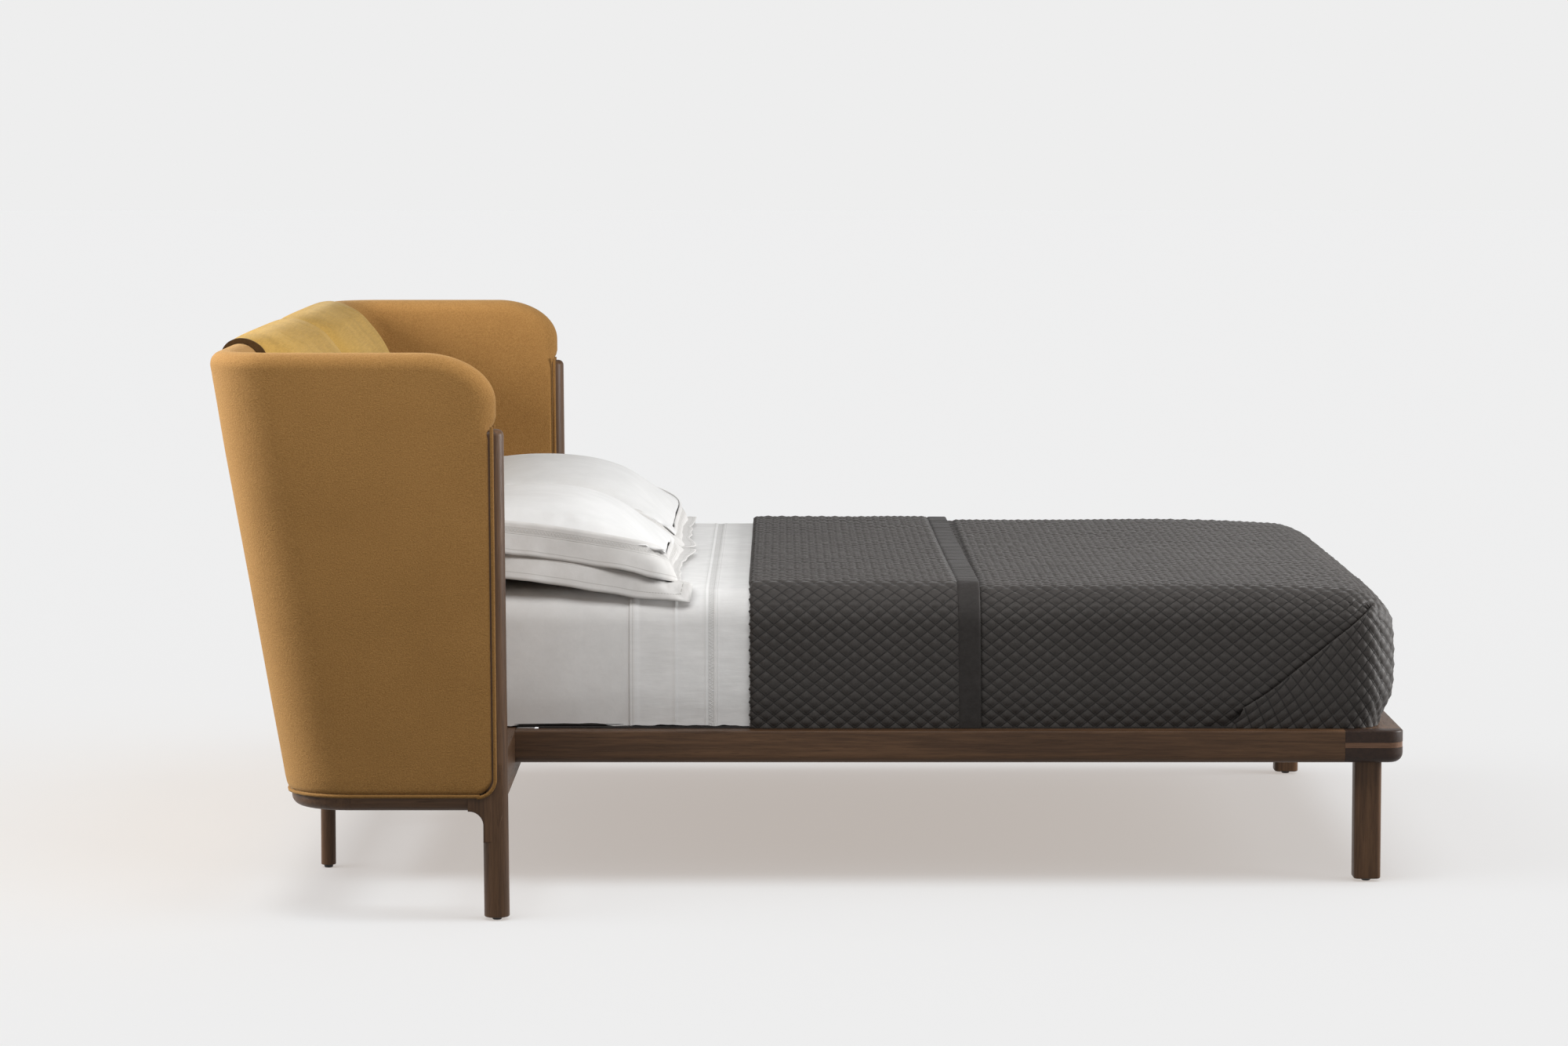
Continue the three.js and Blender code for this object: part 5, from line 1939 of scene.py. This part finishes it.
@dataclass
class BackCushion:
    """A soft cushion hung over the headboard by a thin flap.

    The front lists heights and full thicknesses; the roll lists thicknesses from the front of the shell's
    rounded top to its back.
    """

    side: str
    sign: int
    lean: float = 0.1727
    shell: float = 0.064
    gap: float = 0.0012
    flap: float = 0.0145
    inner: float = 0.004
    outer: float = 0.879
    bottom: float = 0.606
    flap_end: float = 0.902
    shell_top: float = 1.080
    front: Sequence[Point] = (
        (0.606, 0.046),
        (0.640, 0.0975),
        (0.745, 0.1196),
        (0.860, 0.1205),
        (0.962, 0.104),
        (1.014, 0.084),
    )
    roll: Sequence[float] = (0.0610, 0.0430, 0.0250, 0.0145, 0.0115, 0.0120, 0.0135)

    def back(self, z: float) -> float:
        """X of the shell's outer face at a height."""
        return -1.017 - (z - 0.260) * self.lean

    def stations(self) -> list[tuple[Vector, Vector, float]]:
        """Places along the shell from its front, over its rounded top and down its back.

        Returns:
            For each place: its (x, z), the way out of the shell and the cushion's full thickness there.
        """
        radius = self.shell / 2
        crest = self.shell_top - radius
        ahead = self.shell + self.gap
        found = [(Vector((self.back(z) + ahead, z)), Vector((1, 0)), thick) for z, thick in self.front]
        for degrees, thick in zip(range(0, 181, 30), self.roll):
            out = Vector((math.cos(math.radians(degrees)), math.sin(math.radians(degrees))))
            z = crest + out.y * (radius + self.gap)
            found.append((Vector((self.back(z) + radius + out.x * (radius + self.gap), z)), out, thick))
        for z in (1.0, 0.95, self.flap_end):
            found.append((Vector((self.back(z) - self.gap, z)), Vector((-1, 0)), self.flap))
        return found

    def outline(self, fullness: float, grow: float = 0.0) -> list[tuple[float, float]]:
        """Side view of the cushion.

        Args:
            fullness: 1 in the middle of the cushion, less towards its ends.
            grow: Distance by which the outside stands proud.

        Returns:
            Points (x, z), closed.
        """
        outside, inside = [], []
        for spot, out, thick in self.stations():
            outside.append(tuple(spot + out * (0.0060 + (thick - 0.0060) * fullness + grow)))
            inside.append(tuple(spot))
        return smooth_path(outside, 5) + smooth_path(inside, 5)[::-1]

    def make(self) -> None:
        """Build the cushion and its dark end bands: a binding at the outer end, darkened partly as painted
        shade, and a thin band of painted shade in the valley at the inner end.
        """
        body = f"{self.side}_back_cushion"
        piece = Piece(f"{body}_cover", body)
        mesh = piece.mesh
        steps = 48
        rings = []
        for i in range(steps + 1):
            share = -math.cos(math.pi * i / steps)
            fullness = 0.13 + 0.87 * (1 - abs(share) ** 4.2) ** 0.6
            y = (self.inner + self.outer) / 2 + share * (self.outer - self.inner) / 2
            ring = [mesh.verts.new((x, self.sign * y, z)) for x, z in self.outline(fullness)]
            rings.append([mesh.edges.new(pair) for pair in zip(ring, ring[1:] + ring[:1])])
        for near, far in zip(rings, rings[1:]):
            bmesh.ops.bridge_loops(mesh, edges=near + far)
        bmesh.ops.holes_fill(mesh, edges=[e for e in mesh.edges if e.is_boundary], sides=0)
        bmesh.ops.triangulate(mesh, faces=[f for f in mesh.faces if len(f.verts) > 4])
        bmesh.ops.recalc_face_normals(mesh, faces=mesh.faces)
        cover = piece.place(VELVET, slot="olive_velvet", replaces=[body], smooth=1.4)
        inflate(cover, 0.0085, self._cap, 3.0)
        reshape(cover, self._rumple)
        # Painted shade: the outer band is a dark brown binding darkened partly as shade; the thin inner band
        # stands only for the shade in the valley between the two cushions.
        for name, y, width in (("outer", self.outer, -0.0125), ("inner", self.inner, 0.0050)):
            band = Piece(f"{body}_{name}_band", body)
            ends = sorted((self.sign * (y + width * 0.04), self.sign * (y + width)))
            prism(band.mesh, self.outline(0.20, 0.0016), side_view, *ends)
            bmesh.ops.triangulate(band.mesh, faces=[f for f in band.mesh.faces if len(f.verts) > 4])
            band.place(END_BAND_AND_SHADE_VELVET, slot="olive_velvet", smooth=0.8)

    def _cap(self, spot: Vector) -> float:
        """How far pressure may move a point: not at the ends, nor against the shell."""
        from_end = min(abs(abs(spot.y) - self.outer), abs(abs(spot.y) - self.inner))
        proud = spot.x - (self.back(min(spot.z, self.shell_top)) + self.shell)
        return 0.0008 + 0.016 * smoothstep(from_end, 0.01, 0.09) * smoothstep(proud, 0.01, 0.05)

    def _rumple(self, spot: Vector) -> Vector:
        """Gentle dents, and a few folds running in from the ends."""
        proud = spot.x - (self.back(min(spot.z, self.shell_top)) + self.shell)
        free = smoothstep(proud, 0.012, 0.06)
        from_end = min(abs(abs(spot.y) - self.outer), abs(abs(spot.y) - self.inner))
        dent = 0.006 * noise.noise(Vector((spot.x * 5, spot.y * 4, spot.z * 5 + self.sign)))
        fold = 0.0028 * noise.noise(Vector((spot.x * 26, spot.y * 3, spot.z * 26)))
        fold *= math.exp(-from_end / 0.14)
        return spot + Vector((0.8, 0, 0.5)) * (dent + fold) * free


# ---------------------------------------------------------------- hidden base and glides


def dress_plain_nodes() -> None:
    """Give the slats, ledgers, bearers, brackets and glides their finishes."""
    for name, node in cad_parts.items():
        if name.startswith("slat_") or "ledger" in name or "bearer" in name or name == "centre_rail":
            along = Axis.Y if name[-2:].isdigit() else Axis.X
            finish = POPLAR[along]
            slot = "poplar"
        elif name.endswith("bracket"):
            finish, slot = STEEL, "bracket_steel"
        elif name.endswith("glide"):
            finish, slot = NYLON, "glide_nylon"
        else:
            continue
        node.data.materials.clear()
        node.data.materials.append(finish.material())


def main() -> None:
    """Build the studio and the bed."""
    logging.basicConfig(level=logging.INFO, format="%(message)s")
    Shell().make()
    TimberFrame().make()
    dress_plain_nodes()
    Bedding().make()
    for side, sign in SIDES.items():
        BackCushion(side, sign).make()
        for level in Level:
            Pillow(side, sign, level).make()
    Studio().make()


if __name__ == "__main__":
    main()
